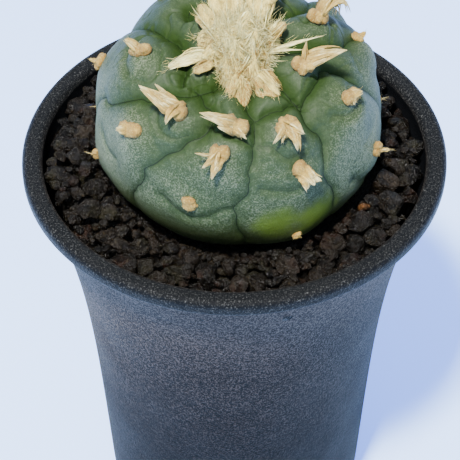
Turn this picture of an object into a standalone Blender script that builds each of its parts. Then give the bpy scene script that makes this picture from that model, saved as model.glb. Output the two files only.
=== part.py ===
"""Potted round cactus: a low ribbed cactus with felt tufts, rooted in gritty mix in a flared pot.

Sizes are in millimetres and angles in degrees, and MM turns them into Blender's metres.
The origin is the centre of the pot's foot. +Z is up and -Y is the front.
A place on the plant is (azimuth, latitude): azimuth 0 is the front and grows towards +X,
latitude 90 is the top of the plant and 0 its widest level.
"""
import math
import random

import bmesh
import bpy
import numpy as np
from mathutils import Matrix, Vector, noise
from mathutils.bvhtree import BVHTree

MM = 0.001

# ---------------------------------------------------------------- driving dimensions
GAP = 0.3                       # clearance between pieces that touch

POT_HEIGHT = 107.0
RIM_RADIUS = 45.0
FOOT_RADIUS = 30.75             # outer wall just above the foot's ledge
BODY_TAPER = 4.3                # how much the wall widens by its even taper
FLARE_POWER = 4.15              # how late the trumpet flare starts
POT_WALL = 1.2
POT_FLOOR = 1.4
LIP_WIDTH = 4.4
LIP_DEPTH = 3.6
LIP_OVERHANG = 2.7
LIP_ROUNDING = 1.5              # along the lip's upper edges
LIP_EDGE = 0.6                  # along its lower edge
LEDGE_HEIGHT = 6.2              # the foot is a step narrower than the wall, up to this height
LEDGE_STEP = 1.0
FOOT_CHAMFER = 2.2
FOOT_EDGE = 0.4
FOOT_RING_WIDTH = 1.8
FLOOR_RAISE = 1.2               # how far the floor's underside stands above the foot ring
CENTRE_HOLE_RADIUS = 4.0
SLOT_COUNT = 6
SLOT_WIDTH = 10.0
SLOT_HEIGHT = 1.9
SLOT_BELOW_LEDGE = 0.2
SLOT_FIRST_AZIMUTH = 80.0

MIX_BELOW_RIM = 12.8            # at the pot's wall
MIX_MOUND = 3.5                 # how much higher the mix stands at the plant
LUMP_HEIGHT = 0.7
LUMP_SIZE = 4.0

PLANT_RADIUS = 30.8             # out to the crests of the tubercles
PLANT_TOP = 24.4                # from the widest level up to the crown
PLANT_BOTTOM = 21.6             # from the widest level down to the root
PLANT_FULLNESS = 2.3            # 2 is an ellipse, more is squarer
WIDEST_ABOVE_MIX = 17.0
PLANT_OFFSET = (0.9, 1.0)       # the plant stands a little off the pot's axis
SOCKET_LATITUDE = -28.0         # the socket in the mix is open from here up
ROOT_LATITUDE = -62.0           # the root starts here
ROOT_LENGTH = 46.0
ROOT_TIP_RADIUS = 1.6
FURROW_DEPTH = 1.9
FURROW_WIDTH = 3.2
TUBERCLE_HEIGHT = 0.9
TUBERCLE_WIDTH = 9.0

CROWN = (2, 78)                 # the growing point
CUSHION_RADIUS = 8.2
CUSHION_HEIGHT = 5.0

GRANULE_SHARE = 0.30            # granule radius as a share of the ring between plant and wall

POT_STEPS = 48
PLANT_STEPS = 64
PLANT_RINGS = 30
BODY_RINGS = 24                 # of those, the rings from the crown to the root

# The furrows between the ribs, each from the crown down to the root.
FURROWS = [
    [(-65, 63), (-85, 61), (-101, 54), (-113, 44), (-120, 30), (-124, 10), (-124, -10), (-122, -30)],
    [(-22, 55), (-35, 47), (-50, 42), (-59, 35), (-68, 27), (-80, 18), (-87, 4), (-88, -30)],
    [(-18, 46), (-15, 38), (-25, 28), (-36, 17), (-40, 10), (-45, -2), (-49, -15), (-50, -30)],
    [(4, 60), (6, 44), (8, 37), (5, 25), (3, 12), (-1, 4), (0, -8), (4, -30)],
    [(30, 56), (35, 44), (35, 34), (38, 25), (35, 13), (38, 4), (41, -8), (43, -30)],
    [(38, 60), (38, 44), (53, 45), (68, 46), (75, 34), (80, 20), (86, 0), (88, -30)],
    [(74, 66), (86, 52), (97, 39), (110, 28), (118, 12), (120, -8), (121, -30)],
    [(139, 68), (132, 56), (136, 42), (146, 26), (153, 8), (155, -10), (156, -30)],
    [(-165, 68), (-160, 54), (-163, 38), (-166, 20), (-165, 2), (-164, -14), (-163, -30)],
]

# Felt tufts: azimuth, latitude, width, how far the pad rises, and the tip's place from the pad.
TUFTS = [
    (-104, 17, 3.2, 1.6, (-1.9, 0.3, 0.4)), (-80, 46, 3.4, 2.0, (-3.0, 0.6, 2.6)),
    (-106, -8, 2.4, 1.4, (-0.8, 0.2, -0.2)),
    (-32, 40, 4.8, 2.6, (-8.0, 2.0, 4.6)), (-50, 25, 3.4, 1.6, (-3.4, -0.4, 1.0)),
    (-74, -5, 2.2, 1.5, (-0.9, -0.4, -0.2)),
    (-2, 38, 5.4, 2.4, (-7.0, -0.6, 3.6)), (-8, 28, 4.0, 2.4, (-3.8, -3.4, -1.0)),
    (-19, 6, 2.5, 1.2, (-0.1, -0.3, 0.0)),
    (22, 36, 4.8, 3.0, (2.6, -6.0, -1.4)), (25, 18, 4.6, 2.2, (3.0, -3.2, -1.2)),
    (23, -15, 1.9, 1.1, (0.1, -0.2, 0.0)),
    (60, 33, 4.2, 2.0, (2.2, -0.8, 0.9)), (66, 4, 3.4, 1.9, (2.0, -0.6, 0.4)),
    (52, 54, 5.2, 2.6, (9.0, -0.6, 4.2)), (109, 28, 3.0, 1.8, (1.5, 0.6, 0.8)),
    (104, -4, 2.2, 1.4, (0.8, 0.2, -0.1)),
    (106, 53, 5.0, 5.6, (7.4, 1.0, 0.8)), (136, 30, 3.8, 2.0, (1.8, 2.0, 1.4)),
    (138, 2, 2.8, 1.6, (0.8, 0.8, 0.2)),
    (174, 48, 4.8, 3.2, (1.2, 4.6, 4.4)), (175, 26, 3.8, 2.0, (-0.8, 2.6, 1.2)),
    (176, 0, 2.6, 1.5, (0.0, 0.9, 0.3)),
    (-146, 50, 4.8, 3.2, (-3.0, 4.4, 3.6)), (-145, 27, 3.6, 2.0, (-1.4, 2.2, 1.0)),
    (-143, 0, 2.6, 1.5, (-0.6, 0.7, 0.3)),
]

# Lobes of crown wool, in the same terms as the tufts.
LOBES = [
    (3, 55, 5.0, 2.0, (-0.2, -4.6, -1.0)), (21, 57, 4.8, 2.0, (1.2, -4.2, -1.0)),
    (-50, 64, 4.2, 3.8, (-8.4, -2.4, 0.6)), (-36, 56, 3.4, 1.6, (-1.6, -1.6, -0.2)),
    (-102, 70, 4.6, 3.0, (-3.4, 0.8, 3.6)), (88, 66, 5.0, 3.0, (3.4, 1.2, 5.4)),
    (52, 62, 3.0, 2.6, (7.4, -0.8, 4.4)), (-165, 66, 5.2, 3.0, (-0.8, 2.6, 6.2)),
    (150, 64, 4.8, 3.0, (1.4, 2.6, 6.0)),
]

# Loose granules: azimuth round the pot and size against the usual one.
GRANULES = [
    (-152, 0.95), (-121, 0.85), (-97, 1.0), (-74, 0.8), (-51, 1.05), (-29, 0.85), (-7, 0.9),
    (17, 0.8), (40, 0.95), (63, 1.1), (85, 1.05), (108, 0.85), (134, 1.0), (163, 0.9),
]


# ---------------------------------------------------------------- what follows from them
LIP_FOOT = POT_HEIGHT - LIP_DEPTH
FLARE = RIM_RADIUS - LIP_OVERHANG - FOOT_RADIUS - BODY_TAPER
FLOOR_TOP = FLOOR_RAISE + POT_FLOOR
MIX_AT_WALL = POT_HEIGHT - MIX_BELOW_RIM
MIX_AT_PLANT = MIX_AT_WALL + MIX_MOUND
PLANT_CENTRE = np.array([PLANT_OFFSET[0], PLANT_OFFSET[1], MIX_AT_PLANT + WIDEST_ABOVE_MIX])


WALL_HEIGHTS = [LIP_FOOT + (LEDGE_HEIGHT + POT_WALL - LIP_FOOT) * share
                for share in (0, 0.03, 0.07, 0.12, 0.18, 0.26, 0.36, 0.5, 0.7, 1)]


def outer_radius(height):
    """The pot wall's outer radius: an even taper and a flare that grows towards the rim."""
    share = max(0.0, (height - LEDGE_HEIGHT) / (LIP_FOOT - LEDGE_HEIGHT))
    return FOOT_RADIUS + BODY_TAPER * share + FLARE * share ** FLARE_POWER


def inner_outline():
    """The pot's inside from the floor up to the lip; the mix follows it a gap further in."""
    foot = FOOT_RADIUS - LEDGE_STEP - POT_WALL
    chamfer = FOOT_CHAMFER * (1 - FLOOR_TOP / LEDGE_HEIGHT)
    outline = [(foot - chamfer, FLOOR_TOP), (foot, LEDGE_HEIGHT)]
    outline += [(outer_radius(height) - POT_WALL, height) for height in reversed(WALL_HEIGHTS[1:])]
    return outline


MIX_RADIUS = outer_radius(MIX_AT_WALL) - POT_WALL - GAP


def mix_height(radius):
    """The mix's mean surface: level at the plant and falling off towards the wall."""
    share = min(1.0, max(0.0, (radius - 0.55 * MIX_RADIUS) / (0.45 * MIX_RADIUS)))
    return MIX_AT_PLANT - MIX_MOUND * share ** 1.5


# ---------------------------------------------------------------- Blender helpers
def clear_scene():
    for item in list(bpy.data.objects):
        bpy.data.objects.remove(item, do_unlink=True)


def new_collection(name):
    collection = bpy.data.collections.new(name)
    bpy.context.scene.collection.children.link(collection)
    return collection


def new_material(name, colour, roughness):
    material = bpy.data.materials.new(name)
    material.use_nodes = True
    shader = material.node_tree.nodes["Principled BSDF"]
    shader.inputs["Base Color"].default_value = (*colour, 1.0)
    shader.inputs["Roughness"].default_value = roughness
    shader.inputs["Metallic"].default_value = 0.0
    material.diffuse_color = (*colour, 1.0)
    return material


def new_object(name, bm, collection, material=None):
    """Link a smooth-shaded object made from a bmesh whose coordinates are in millimetres."""
    bmesh.ops.scale(bm, vec=(MM, MM, MM), verts=bm.verts)
    mesh = bpy.data.meshes.new(name)
    bm.to_mesh(mesh)
    bm.free()
    for polygon in mesh.polygons:
        polygon.use_smooth = True
    item = bpy.data.objects.new(name, mesh)
    collection.objects.link(item)
    if material:
        mesh.materials.append(material)
    return item


def new_cutter(name, bm):
    cutter = new_object(name, bm, cutters)
    cutter.hide_render = True
    cutter.display_type = "WIRE"
    return cutter


def profile_object(name, points, closed, steps, collection, material=None):
    """A turned piece: its (radius, height) outline swept round Z by a Screw modifier, then frozen."""
    bm = bmesh.new()
    verts = [bm.verts.new((radius, 0, height)) for radius, height in points]
    pairs = list(zip(verts, verts[1:]))
    if closed:
        pairs.append((verts[-1], verts[0]))
    for start, end in pairs:
        bm.edges.new((start, end))
    item = new_object(name, bm, collection, material)
    screw = item.modifiers.new("turn", "SCREW")
    screw.steps = steps
    screw.render_steps = steps
    screw.use_merge_vertices = True
    screw.merge_threshold = 0.00001
    freeze(item)
    return item


def cut(item, cutter):
    boolean = item.modifiers.new("cut", "BOOLEAN")
    boolean.operation = "DIFFERENCE"
    boolean.solver = "EXACT"
    boolean.object = cutter


def freeze(item):
    """Turn an object's modifiers into its mesh, with every face pointing out."""
    depsgraph = bpy.context.evaluated_depsgraph_get()
    mesh = bpy.data.meshes.new_from_object(item.evaluated_get(depsgraph))
    bm = bmesh.new()
    bm.from_mesh(mesh)
    bmesh.ops.recalc_face_normals(bm, faces=bm.faces)
    bm.to_mesh(mesh)
    bm.free()
    for polygon in mesh.polygons:
        polygon.use_smooth = True
    old_mesh = item.data
    item.modifiers.clear()
    item.data = mesh
    bpy.data.meshes.remove(old_mesh)


# ---------------------------------------------------------------- the plant's shape
def direction_at(azimuth, latitude):
    around = np.radians(azimuth)
    up = np.radians(latitude)
    return np.stack([np.cos(up) * np.sin(around), -np.cos(up) * np.cos(around), np.sin(up)], axis=-1)


def body_point(azimuth, latitude):
    """A point of the smooth body, from the plant's centre: a flattened, slightly square ball."""
    towards = direction_at(np.asarray(azimuth, float), np.asarray(latitude, float))
    across = np.hypot(towards[..., 0], towards[..., 1]) / PLANT_RADIUS
    along = np.abs(towards[..., 2]) / np.where(towards[..., 2] > 0, PLANT_TOP, PLANT_BOTTOM)
    reach = (across ** PLANT_FULLNESS + along ** PLANT_FULLNESS) ** (-1 / PLANT_FULLNESS)
    return towards * reach[..., None]


def line_points(places, spacing=3):
    """Points every few degrees along a furrow, on the smooth body."""
    azimuths, latitudes = [], []
    for (azimuth_a, latitude_a), (azimuth_b, latitude_b) in zip(places, places[1:]):
        count = max(2, int(max(abs(azimuth_b - azimuth_a), abs(latitude_b - latitude_a)) / spacing))
        azimuths.append(np.linspace(azimuth_a, azimuth_b, count, endpoint=False))
        latitudes.append(np.linspace(latitude_a, latitude_b, count, endpoint=False))
    return body_point(np.concatenate(azimuths), np.concatenate(latitudes))


def nearest_distance(points, targets):
    return np.sqrt(((points[:, None, :] - targets[None, :, :]) ** 2).sum(axis=2).min(axis=1))


def relief(points, latitude):
    """How far the skin stands off the smooth body: furrows go in and tubercles come out."""
    furrows = np.concatenate([line_points(furrow) for furrow in FURROWS])
    areoles = body_point([tuft[0] for tuft in TUFTS], [tuft[1] for tuft in TUFTS])
    fade = np.clip((np.asarray(latitude) + 50) / 25, 0, 1)
    valley = FURROW_DEPTH * np.exp(-(nearest_distance(points, furrows) / FURROW_WIDTH) ** 2)
    tubercle = TUBERCLE_HEIGHT * np.exp(-(nearest_distance(points, areoles) / TUBERCLE_WIDTH) ** 2)
    return fade * (tubercle - valley - TUBERCLE_HEIGHT)


def skin_point(azimuth, latitude):
    point = body_point([azimuth], [latitude])
    lift = relief(point, [latitude])
    return (PLANT_CENTRE + point + direction_at(azimuth, latitude) * lift[:, None])[0]


def root_radius(share):
    """The taproot's radius from its neck, share 0, to its tip, share 1."""
    neck = math.hypot(*body_point(0, ROOT_LATITUDE)[:2])
    return ROOT_TIP_RADIUS + (neck - ROOT_TIP_RADIUS) * (1 - share) ** 1.4


def plant_bmesh():
    """The stem and its taproot in one piece: a UV sphere whose rings follow the outline."""
    bm = bmesh.new()
    bmesh.ops.create_uvsphere(bm, u_segments=PLANT_STEPS, v_segments=PLANT_RINGS, radius=1)
    root_top = float(body_point(0, ROOT_LATITUDE)[2])
    for vert in bm.verts:
        azimuth = math.degrees(math.atan2(vert.co.x, -vert.co.y))
        ring = PLANT_RINGS * math.acos(max(-1.0, min(1.0, vert.co.z))) / math.pi
        if ring <= BODY_RINGS + 0.01:
            latitude = 90 + (ROOT_LATITUDE - 90) * ring / BODY_RINGS
            point = body_point([azimuth], [latitude])
            lift = relief(point, [latitude])
            vert.co = Vector((point + direction_at(azimuth, latitude) * lift[:, None])[0])
        else:
            share = (ring - BODY_RINGS) / (PLANT_RINGS - BODY_RINGS)
            radius = root_radius(share) if share < 0.99 else 0.0
            around = math.radians(azimuth)
            vert.co = (radius * math.sin(around), -radius * math.cos(around), root_top - ROOT_LENGTH * share)
    bmesh.ops.translate(bm, vec=Vector(PLANT_CENTRE), verts=bm.verts)
    bmesh.ops.recalc_face_normals(bm, faces=bm.faces)
    return bm


def grown(bm, distance):
    """The same closed shape, moved out along its own normals."""
    bm.normal_update()
    moved = [vert.co + vert.normal * distance for vert in bm.verts]
    for vert, place in zip(bm.verts, moved):
        vert.co = place
    return bm


# ---------------------------------------------------------------- the pieces
def make_pot():
    """The pot: a turned shell with a rounded lip, a stepped foot and drain slots."""
    lip_inner = RIM_RADIUS - LIP_WIDTH
    foot = FOOT_RADIUS - LEDGE_STEP - FOOT_CHAMFER
    points = [
        (lip_inner + LIP_ROUNDING, POT_HEIGHT),
        (RIM_RADIUS - LIP_ROUNDING, POT_HEIGHT),
        (RIM_RADIUS - 0.3 * LIP_ROUNDING, POT_HEIGHT - 0.3 * LIP_ROUNDING),
        (RIM_RADIUS, POT_HEIGHT - LIP_ROUNDING),
        (RIM_RADIUS, LIP_FOOT + LIP_EDGE),
        (RIM_RADIUS - LIP_EDGE, LIP_FOOT),
    ]
    points += [(outer_radius(height), height) for height in WALL_HEIGHTS]
    points += [
        (FOOT_RADIUS, LEDGE_HEIGHT),
        (FOOT_RADIUS - LEDGE_STEP, LEDGE_HEIGHT),
        (foot + FOOT_EDGE / 2, FOOT_EDGE),
        (foot, 0),
        (foot - FOOT_RING_WIDTH, 0),
        (foot - FOOT_RING_WIDTH, FLOOR_RAISE),
        (CENTRE_HOLE_RADIUS, FLOOR_RAISE),
        (CENTRE_HOLE_RADIUS, FLOOR_TOP),
    ]
    points += inner_outline()
    points += [
        (lip_inner, POT_HEIGHT - LIP_ROUNDING),
        (lip_inner + 0.3 * LIP_ROUNDING, POT_HEIGHT - 0.3 * LIP_ROUNDING),
    ]
    pot = profile_object("pot", points, True, POT_STEPS, parts, pot_plastic)
    slot_height = LEDGE_HEIGHT - SLOT_HEIGHT / 2 - SLOT_BELOW_LEDGE
    for index in range(SLOT_COUNT):
        around = math.radians(SLOT_FIRST_AZIMUTH + index * 360 / SLOT_COUNT)
        bm = bmesh.new()
        bmesh.ops.create_cube(bm, size=1)
        bmesh.ops.scale(bm, vec=(SLOT_WIDTH, 5 * POT_WALL, SLOT_HEIGHT), verts=bm.verts)
        bmesh.ops.translate(bm, vec=(0, -(foot + POT_WALL), slot_height), verts=bm.verts)
        bmesh.ops.rotate(bm, verts=bm.verts, matrix=turn_about_z(around))
        cut(pot, new_cutter(f"slot_cutter_{index + 1}", bm))
    return pot


def turn_about_z(angle):
    """The rotation that takes the front (-Y) towards +X by the angle."""
    return Matrix.Rotation(angle, 3, "Z")


def make_mix():
    """The potting mix: it fills the pot, its top is lumpy, and the plant sits in a socket."""
    top_radii = [MIX_RADIUS * share for share in (0.3, 0.5, 0.58, 0.66, 0.74, 0.82, 0.9, 1)]
    points = [(0, mix_height(0))]
    points += [(radius, mix_height(radius)) for radius in top_radii]
    below = [(radius, height) for radius, height in inner_outline() if height < MIX_AT_WALL - 2 * GAP]
    points += [(radius - GAP, height + GAP) for radius, height in reversed(below)]
    points += [(0, FLOOR_TOP + GAP)]
    mix = profile_object("potting_mix", points, False, POT_STEPS, parts, wet_grit)
    for vert in mix.data.vertices:
        radius = math.hypot(vert.co.x, vert.co.y) / MM
        if vert.co.z / MM > MIX_AT_WALL - 0.5 and radius < 0.95 * MIX_RADIUS:
            lump = noise.noise(vert.co / (LUMP_SIZE * MM))
            vert.co.z += LUMP_HEIGHT * MM * max(-1.0, min(1.0, 2 * lump))
    cut(mix, make_socket_cutter())
    return mix


def make_socket_cutter():
    """The plant's smooth outline, a gap larger all round, from above the mix to below the root."""
    latitudes = np.linspace(SOCKET_LATITUDE, ROOT_LATITUDE, 4)
    side = [body_point(0, latitude) for latitude in latitudes]
    points = [(0, side[0][2])]
    points += [(math.hypot(*point[:2]) + GAP, point[2] - GAP) for point in side]
    root_top = points[-1][1]
    points += [(root_radius(share) + GAP, root_top - ROOT_LENGTH * share) for share in (0.25, 0.5, 0.75, 1)]
    points += [(0, root_top - ROOT_LENGTH - GAP)]
    cutter = profile_object("socket_cutter", points, False, POT_STEPS, cutters)
    cutter.location = Vector(PLANT_CENTRE) * MM
    cutter.hide_render = True
    cutter.display_type = "WIRE"
    return cutter


def make_plant():
    plant = new_object("cactus", plant_bmesh(), parts, flesh)
    new_cutter("seat_cutter", grown(plant_bmesh(), GAP))
    return plant


def tangent_frame(azimuth, latitude):
    """The skin point and its outward, uphill and sideways directions."""
    step = 1.5
    here = body_point(azimuth, latitude)
    uphill = body_point(azimuth, latitude + step) - here
    sideways = body_point(azimuth + step, latitude) - here
    outward = np.cross(sideways, uphill)
    uphill = uphill / np.linalg.norm(uphill)
    outward = outward / np.linalg.norm(outward)
    return skin_point(azimuth, latitude), outward, uphill, np.cross(uphill, outward)


def tuft_bmesh(azimuth, latitude, width, rise, tip):
    """A felt tuft: a round pad that bends over into one blunt tip, made from a UV sphere."""
    base, outward, uphill, sideways = tangent_frame(azimuth, latitude)
    start = base - outward * 0.35 * width
    middle = base + outward * rise + 0.25 * np.array(tip)
    end = base + outward * 0.6 * rise + np.array(tip)
    across = np.cross(outward, end - start)
    across = across / np.linalg.norm(across)
    bm = bmesh.new()
    bmesh.ops.create_uvsphere(bm, u_segments=8, v_segments=7, radius=1)
    for vert in bm.verts:
        share = (vert.co.z + 1) / 2
        spine = (1 - share) ** 2 * start + 2 * share * (1 - share) * middle + share ** 2 * end
        slope = 2 * (1 - share) * (middle - start) + 2 * share * (end - middle)
        slope = slope / np.linalg.norm(slope)
        radius = width / 2 * (1 - 0.45 * share)
        vert.co = Vector(spine + radius * (vert.co.x * across + vert.co.y * np.cross(slope, across)))
    bmesh.ops.recalc_face_normals(bm, faces=bm.faces)
    return bm


def make_tufts():
    for index, tuft_sizes in enumerate(TUFTS, start=1):
        tuft = new_object(f"tuft_{index:02d}", tuft_bmesh(*tuft_sizes), parts, felt)
        cut(tuft, bpy.data.objects["seat_cutter"])


def cushion_bmesh():
    """The dense wool over the growing point: a low dome."""
    base, outward, uphill, sideways = tangent_frame(*CROWN)
    bm = bmesh.new()
    bmesh.ops.create_uvsphere(bm, u_segments=16, v_segments=9, radius=1)
    for vert in bm.verts:
        swell = 1 + 0.12 * noise.noise(vert.co * 1.7)
        flat = CUSHION_RADIUS * swell * (vert.co.x * sideways + vert.co.y * uphill)
        vert.co = Vector(base + flat + outward * (CUSHION_HEIGHT * swell * vert.co.z + 1.5))
    bmesh.ops.recalc_face_normals(bm, faces=bm.faces)
    return bm


def make_crown():
    cushion = new_object("crown_wool", cushion_bmesh(), parts, wool)
    cut(cushion, bpy.data.objects["seat_cutter"])
    cushion_cutter = new_cutter("cushion_cutter", grown(cushion_bmesh(), GAP))
    for index, lobe_sizes in enumerate(LOBES, start=1):
        lobe = new_object(f"wool_lobe_{index}", tuft_bmesh(*lobe_sizes), parts, wool)
        cut(lobe, bpy.data.objects["seat_cutter"])
        cut(lobe, cushion_cutter)


def make_granules(mix):
    """Loose granules, each dropped onto the mix until it almost touches."""
    random.seed(11)
    bpy.context.view_layer.update()
    depsgraph = bpy.context.evaluated_depsgraph_get()
    ground = BVHTree.FromObject(mix, depsgraph)
    ring_width = MIX_RADIUS - PLANT_RADIUS
    for index, (azimuth, size) in enumerate(GRANULES, start=1):
        radius = GRANULE_SHARE * ring_width * size
        bm = bmesh.new()
        bmesh.ops.create_icosphere(bm, subdivisions=2, radius=radius)
        squash = Vector((random.uniform(0.9, 1.1), random.uniform(0.9, 1.1), random.uniform(0.75, 0.9)))
        for vert in bm.verts:
            bump = 1 + 0.22 * noise.noise(vert.co / radius + Vector((index * 3.1, 0, 0)))
            vert.co = vert.co * bump * squash
        ring = PLANT_RADIUS + 0.55 * ring_width
        around = math.radians(azimuth)
        place = Vector((PLANT_OFFSET[0] * 0.5 + ring * math.sin(around),
                        PLANT_OFFSET[1] * 0.5 - ring * math.cos(around), MIX_AT_PLANT + 3 * radius))
        bmesh.ops.translate(bm, vec=place, verts=bm.verts)
        drop = drop_onto(ground, bm) - GAP
        bmesh.ops.translate(bm, vec=(0, 0, -drop), verts=bm.verts)
        new_object(f"granule_{index:02d}", bm, parts, granule_stone)


def drop_onto(ground, bm):
    """How far a closed shape can fall before one of its vertices meets the ground."""
    down = Vector((0, 0, -1))
    falls = []
    for vert in bm.verts:
        hit = ground.ray_cast(vert.co * MM, down)
        if hit[0]:
            falls.append(hit[3] / MM)
    return min(falls)


clear_scene()
parts = new_collection("potted_round_cactus")
cutters = new_collection("cutters")
pot_plastic = new_material("pot_plastic", (0.045, 0.050, 0.062), 0.55)
wet_grit = new_material("wet_grit", (0.030, 0.018, 0.012), 0.45)
granule_stone = new_material("granule_stone", (0.040, 0.024, 0.016), 0.45)
flesh = new_material("flesh", (0.115, 0.225, 0.145), 0.6)
felt = new_material("felt", (0.72, 0.58, 0.38), 0.95)
wool = new_material("wool", (0.82, 0.74, 0.50), 0.95)

make_pot()
potting_mix = make_mix()
make_plant()
make_tufts()
make_crown()
make_granules(potting_mix)
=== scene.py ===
# %% [markdown]
# # A potted round cactus
# This script dresses a ready-made frame: a low, ribbed, spineless cactus with felt tufts, rooted in
# wet gritty mix in a tall black nursery pot. The frame holds the true places and sizes. Nearly every
# piece made here stands for a piece of the frame, at its place and size; only the looks are new.

# %% Load the frame and its measures
import math
import random

import bmesh
import bpy
import numpy as np
from mathutils import Matrix, Vector, noise


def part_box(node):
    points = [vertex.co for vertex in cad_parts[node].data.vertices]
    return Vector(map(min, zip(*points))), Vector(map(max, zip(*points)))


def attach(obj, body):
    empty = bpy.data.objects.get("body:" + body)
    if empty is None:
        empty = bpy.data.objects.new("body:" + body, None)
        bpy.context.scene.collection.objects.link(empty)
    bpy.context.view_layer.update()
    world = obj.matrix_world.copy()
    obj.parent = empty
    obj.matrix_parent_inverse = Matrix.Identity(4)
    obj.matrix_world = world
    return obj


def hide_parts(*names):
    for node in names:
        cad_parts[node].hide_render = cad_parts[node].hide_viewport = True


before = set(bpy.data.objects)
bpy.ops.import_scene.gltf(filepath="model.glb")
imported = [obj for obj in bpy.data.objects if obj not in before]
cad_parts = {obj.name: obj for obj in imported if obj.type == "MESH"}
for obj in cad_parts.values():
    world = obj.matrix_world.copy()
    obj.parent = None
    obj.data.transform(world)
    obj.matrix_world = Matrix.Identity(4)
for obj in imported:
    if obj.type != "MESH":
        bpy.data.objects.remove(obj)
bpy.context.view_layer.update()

MM = 0.001
rim_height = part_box("pot")[1][2] / MM
rim_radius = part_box("pot")[1][0] / MM
print(f"frame: {len(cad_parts)} nodes, rim {2 * rim_radius:.1f} mm across, {rim_height:.1f} mm high")

# %% [markdown]
# ## The camera
# The viewer looks down at the rim from the front at about 46 degrees, from not quite 40 cm away.
# A long lens, only 15 degrees wide, keeps the pot's sides nearly straight. The camera is placed by
# three directions of its own: to the right, up, and back along its line of sight. A turn of a third
# of a degree about that line stands for a hand-held camera.

# %% Place the camera
VIEW_DOWN = 45.9
VIEW_DISTANCE = 371.1
VIEW_SIDEWAYS = -1.0
VIEW_BELOW = -16.8
VIEW_ROLL = -0.33
AIM_BELOW_RIM = 1.3
LENS_ANGLE = 15.0

down = math.radians(VIEW_DOWN)
roll = math.radians(VIEW_ROLL)
back = Vector((0, -math.cos(down), math.sin(down)))
level_right = Vector((1, 0, 0))
level_up = Vector((0, math.sin(down), math.cos(down)))
view_right = level_right * math.cos(roll) + level_up * math.sin(roll)
view_up = -level_right * math.sin(roll) + level_up * math.cos(roll)
rim_centre = Vector((0, 0, rim_height - AIM_BELOW_RIM))

camera_data = bpy.data.cameras.new("camera")
camera_data.sensor_fit = "HORIZONTAL"
camera_data.angle = math.radians(LENS_ANGLE)
camera_data.clip_start = 0.01
camera = bpy.data.objects.new("camera", camera_data)
bpy.context.scene.collection.objects.link(camera)
turn = Matrix((view_right, view_up, back)).transposed().to_4x4()
eye = rim_centre + back * VIEW_DISTANCE + level_right * VIEW_SIDEWAYS + level_up * VIEW_BELOW
camera.matrix_world = Matrix.Translation(eye * MM) @ turn
bpy.context.scene.camera = camera
print("camera", tuple(round(value, 1) for value in eye), "mm")

# %% [markdown]
# ## Light and floor
# The light is that of a bright day on white paper: a pale blue sky from everywhere, and one stronger
# lamp high up on the viewer's side and a little to the left, so the pot's shadow falls behind it and
# to the right. The floor is a plain pale sheet that is not part of the plant. Its finish gives off a
# faint blue glow, which keeps the shadow from going grey.

# %% Sky, lamp and floor
SKY = (0.62, 0.76, 1.0)
SKY_STRENGTH = 1.25
LAMP_PLACE = (-0.174, -0.468, 1.09)
LAMP_SIZE = 0.11
LAMP_POWER = 44.0
LAMP_TINT = (1.0, 0.98, 0.95)
FLOOR_HALF_WIDTH = 3.0

world = bpy.data.worlds.new("sky")
world.use_nodes = True
world.node_tree.nodes["Background"].inputs["Color"].default_value = (*SKY, 1)
world.node_tree.nodes["Background"].inputs["Strength"].default_value = SKY_STRENGTH
bpy.context.scene.world = world

lamp_data = bpy.data.lights.new("window", "AREA")
lamp_data.size = LAMP_SIZE
lamp_data.energy = LAMP_POWER
lamp_data.color = LAMP_TINT
lamp = bpy.data.objects.new("window", lamp_data)
bpy.context.scene.collection.objects.link(lamp)
lamp.location = LAMP_PLACE
aim = Vector((0, 0, 0.1)) - Vector(LAMP_PLACE)
lamp.rotation_euler = aim.to_track_quat("-Z", "Y").to_euler()

floor_bm = bmesh.new()
bmesh.ops.create_grid(floor_bm, x_segments=1, y_segments=1, size=FLOOR_HALF_WIDTH)
floor_mesh = bpy.data.meshes.new("floor")
floor_bm.to_mesh(floor_mesh)
floor_bm.free()
floor = bpy.data.objects.new("floor", floor_mesh)
bpy.context.scene.collection.objects.link(floor)
print("lamp at", LAMP_PLACE, "power", LAMP_POWER)

# %% [markdown]
# ## Helpers for materials
# A finish is a small network of nodes. A few short helpers keep the networks readable: they add a
# node and link its inputs, read a place, an attribute or a noise, map a value onto a new range, mix
# two colours, and lay one bump over another.

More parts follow.
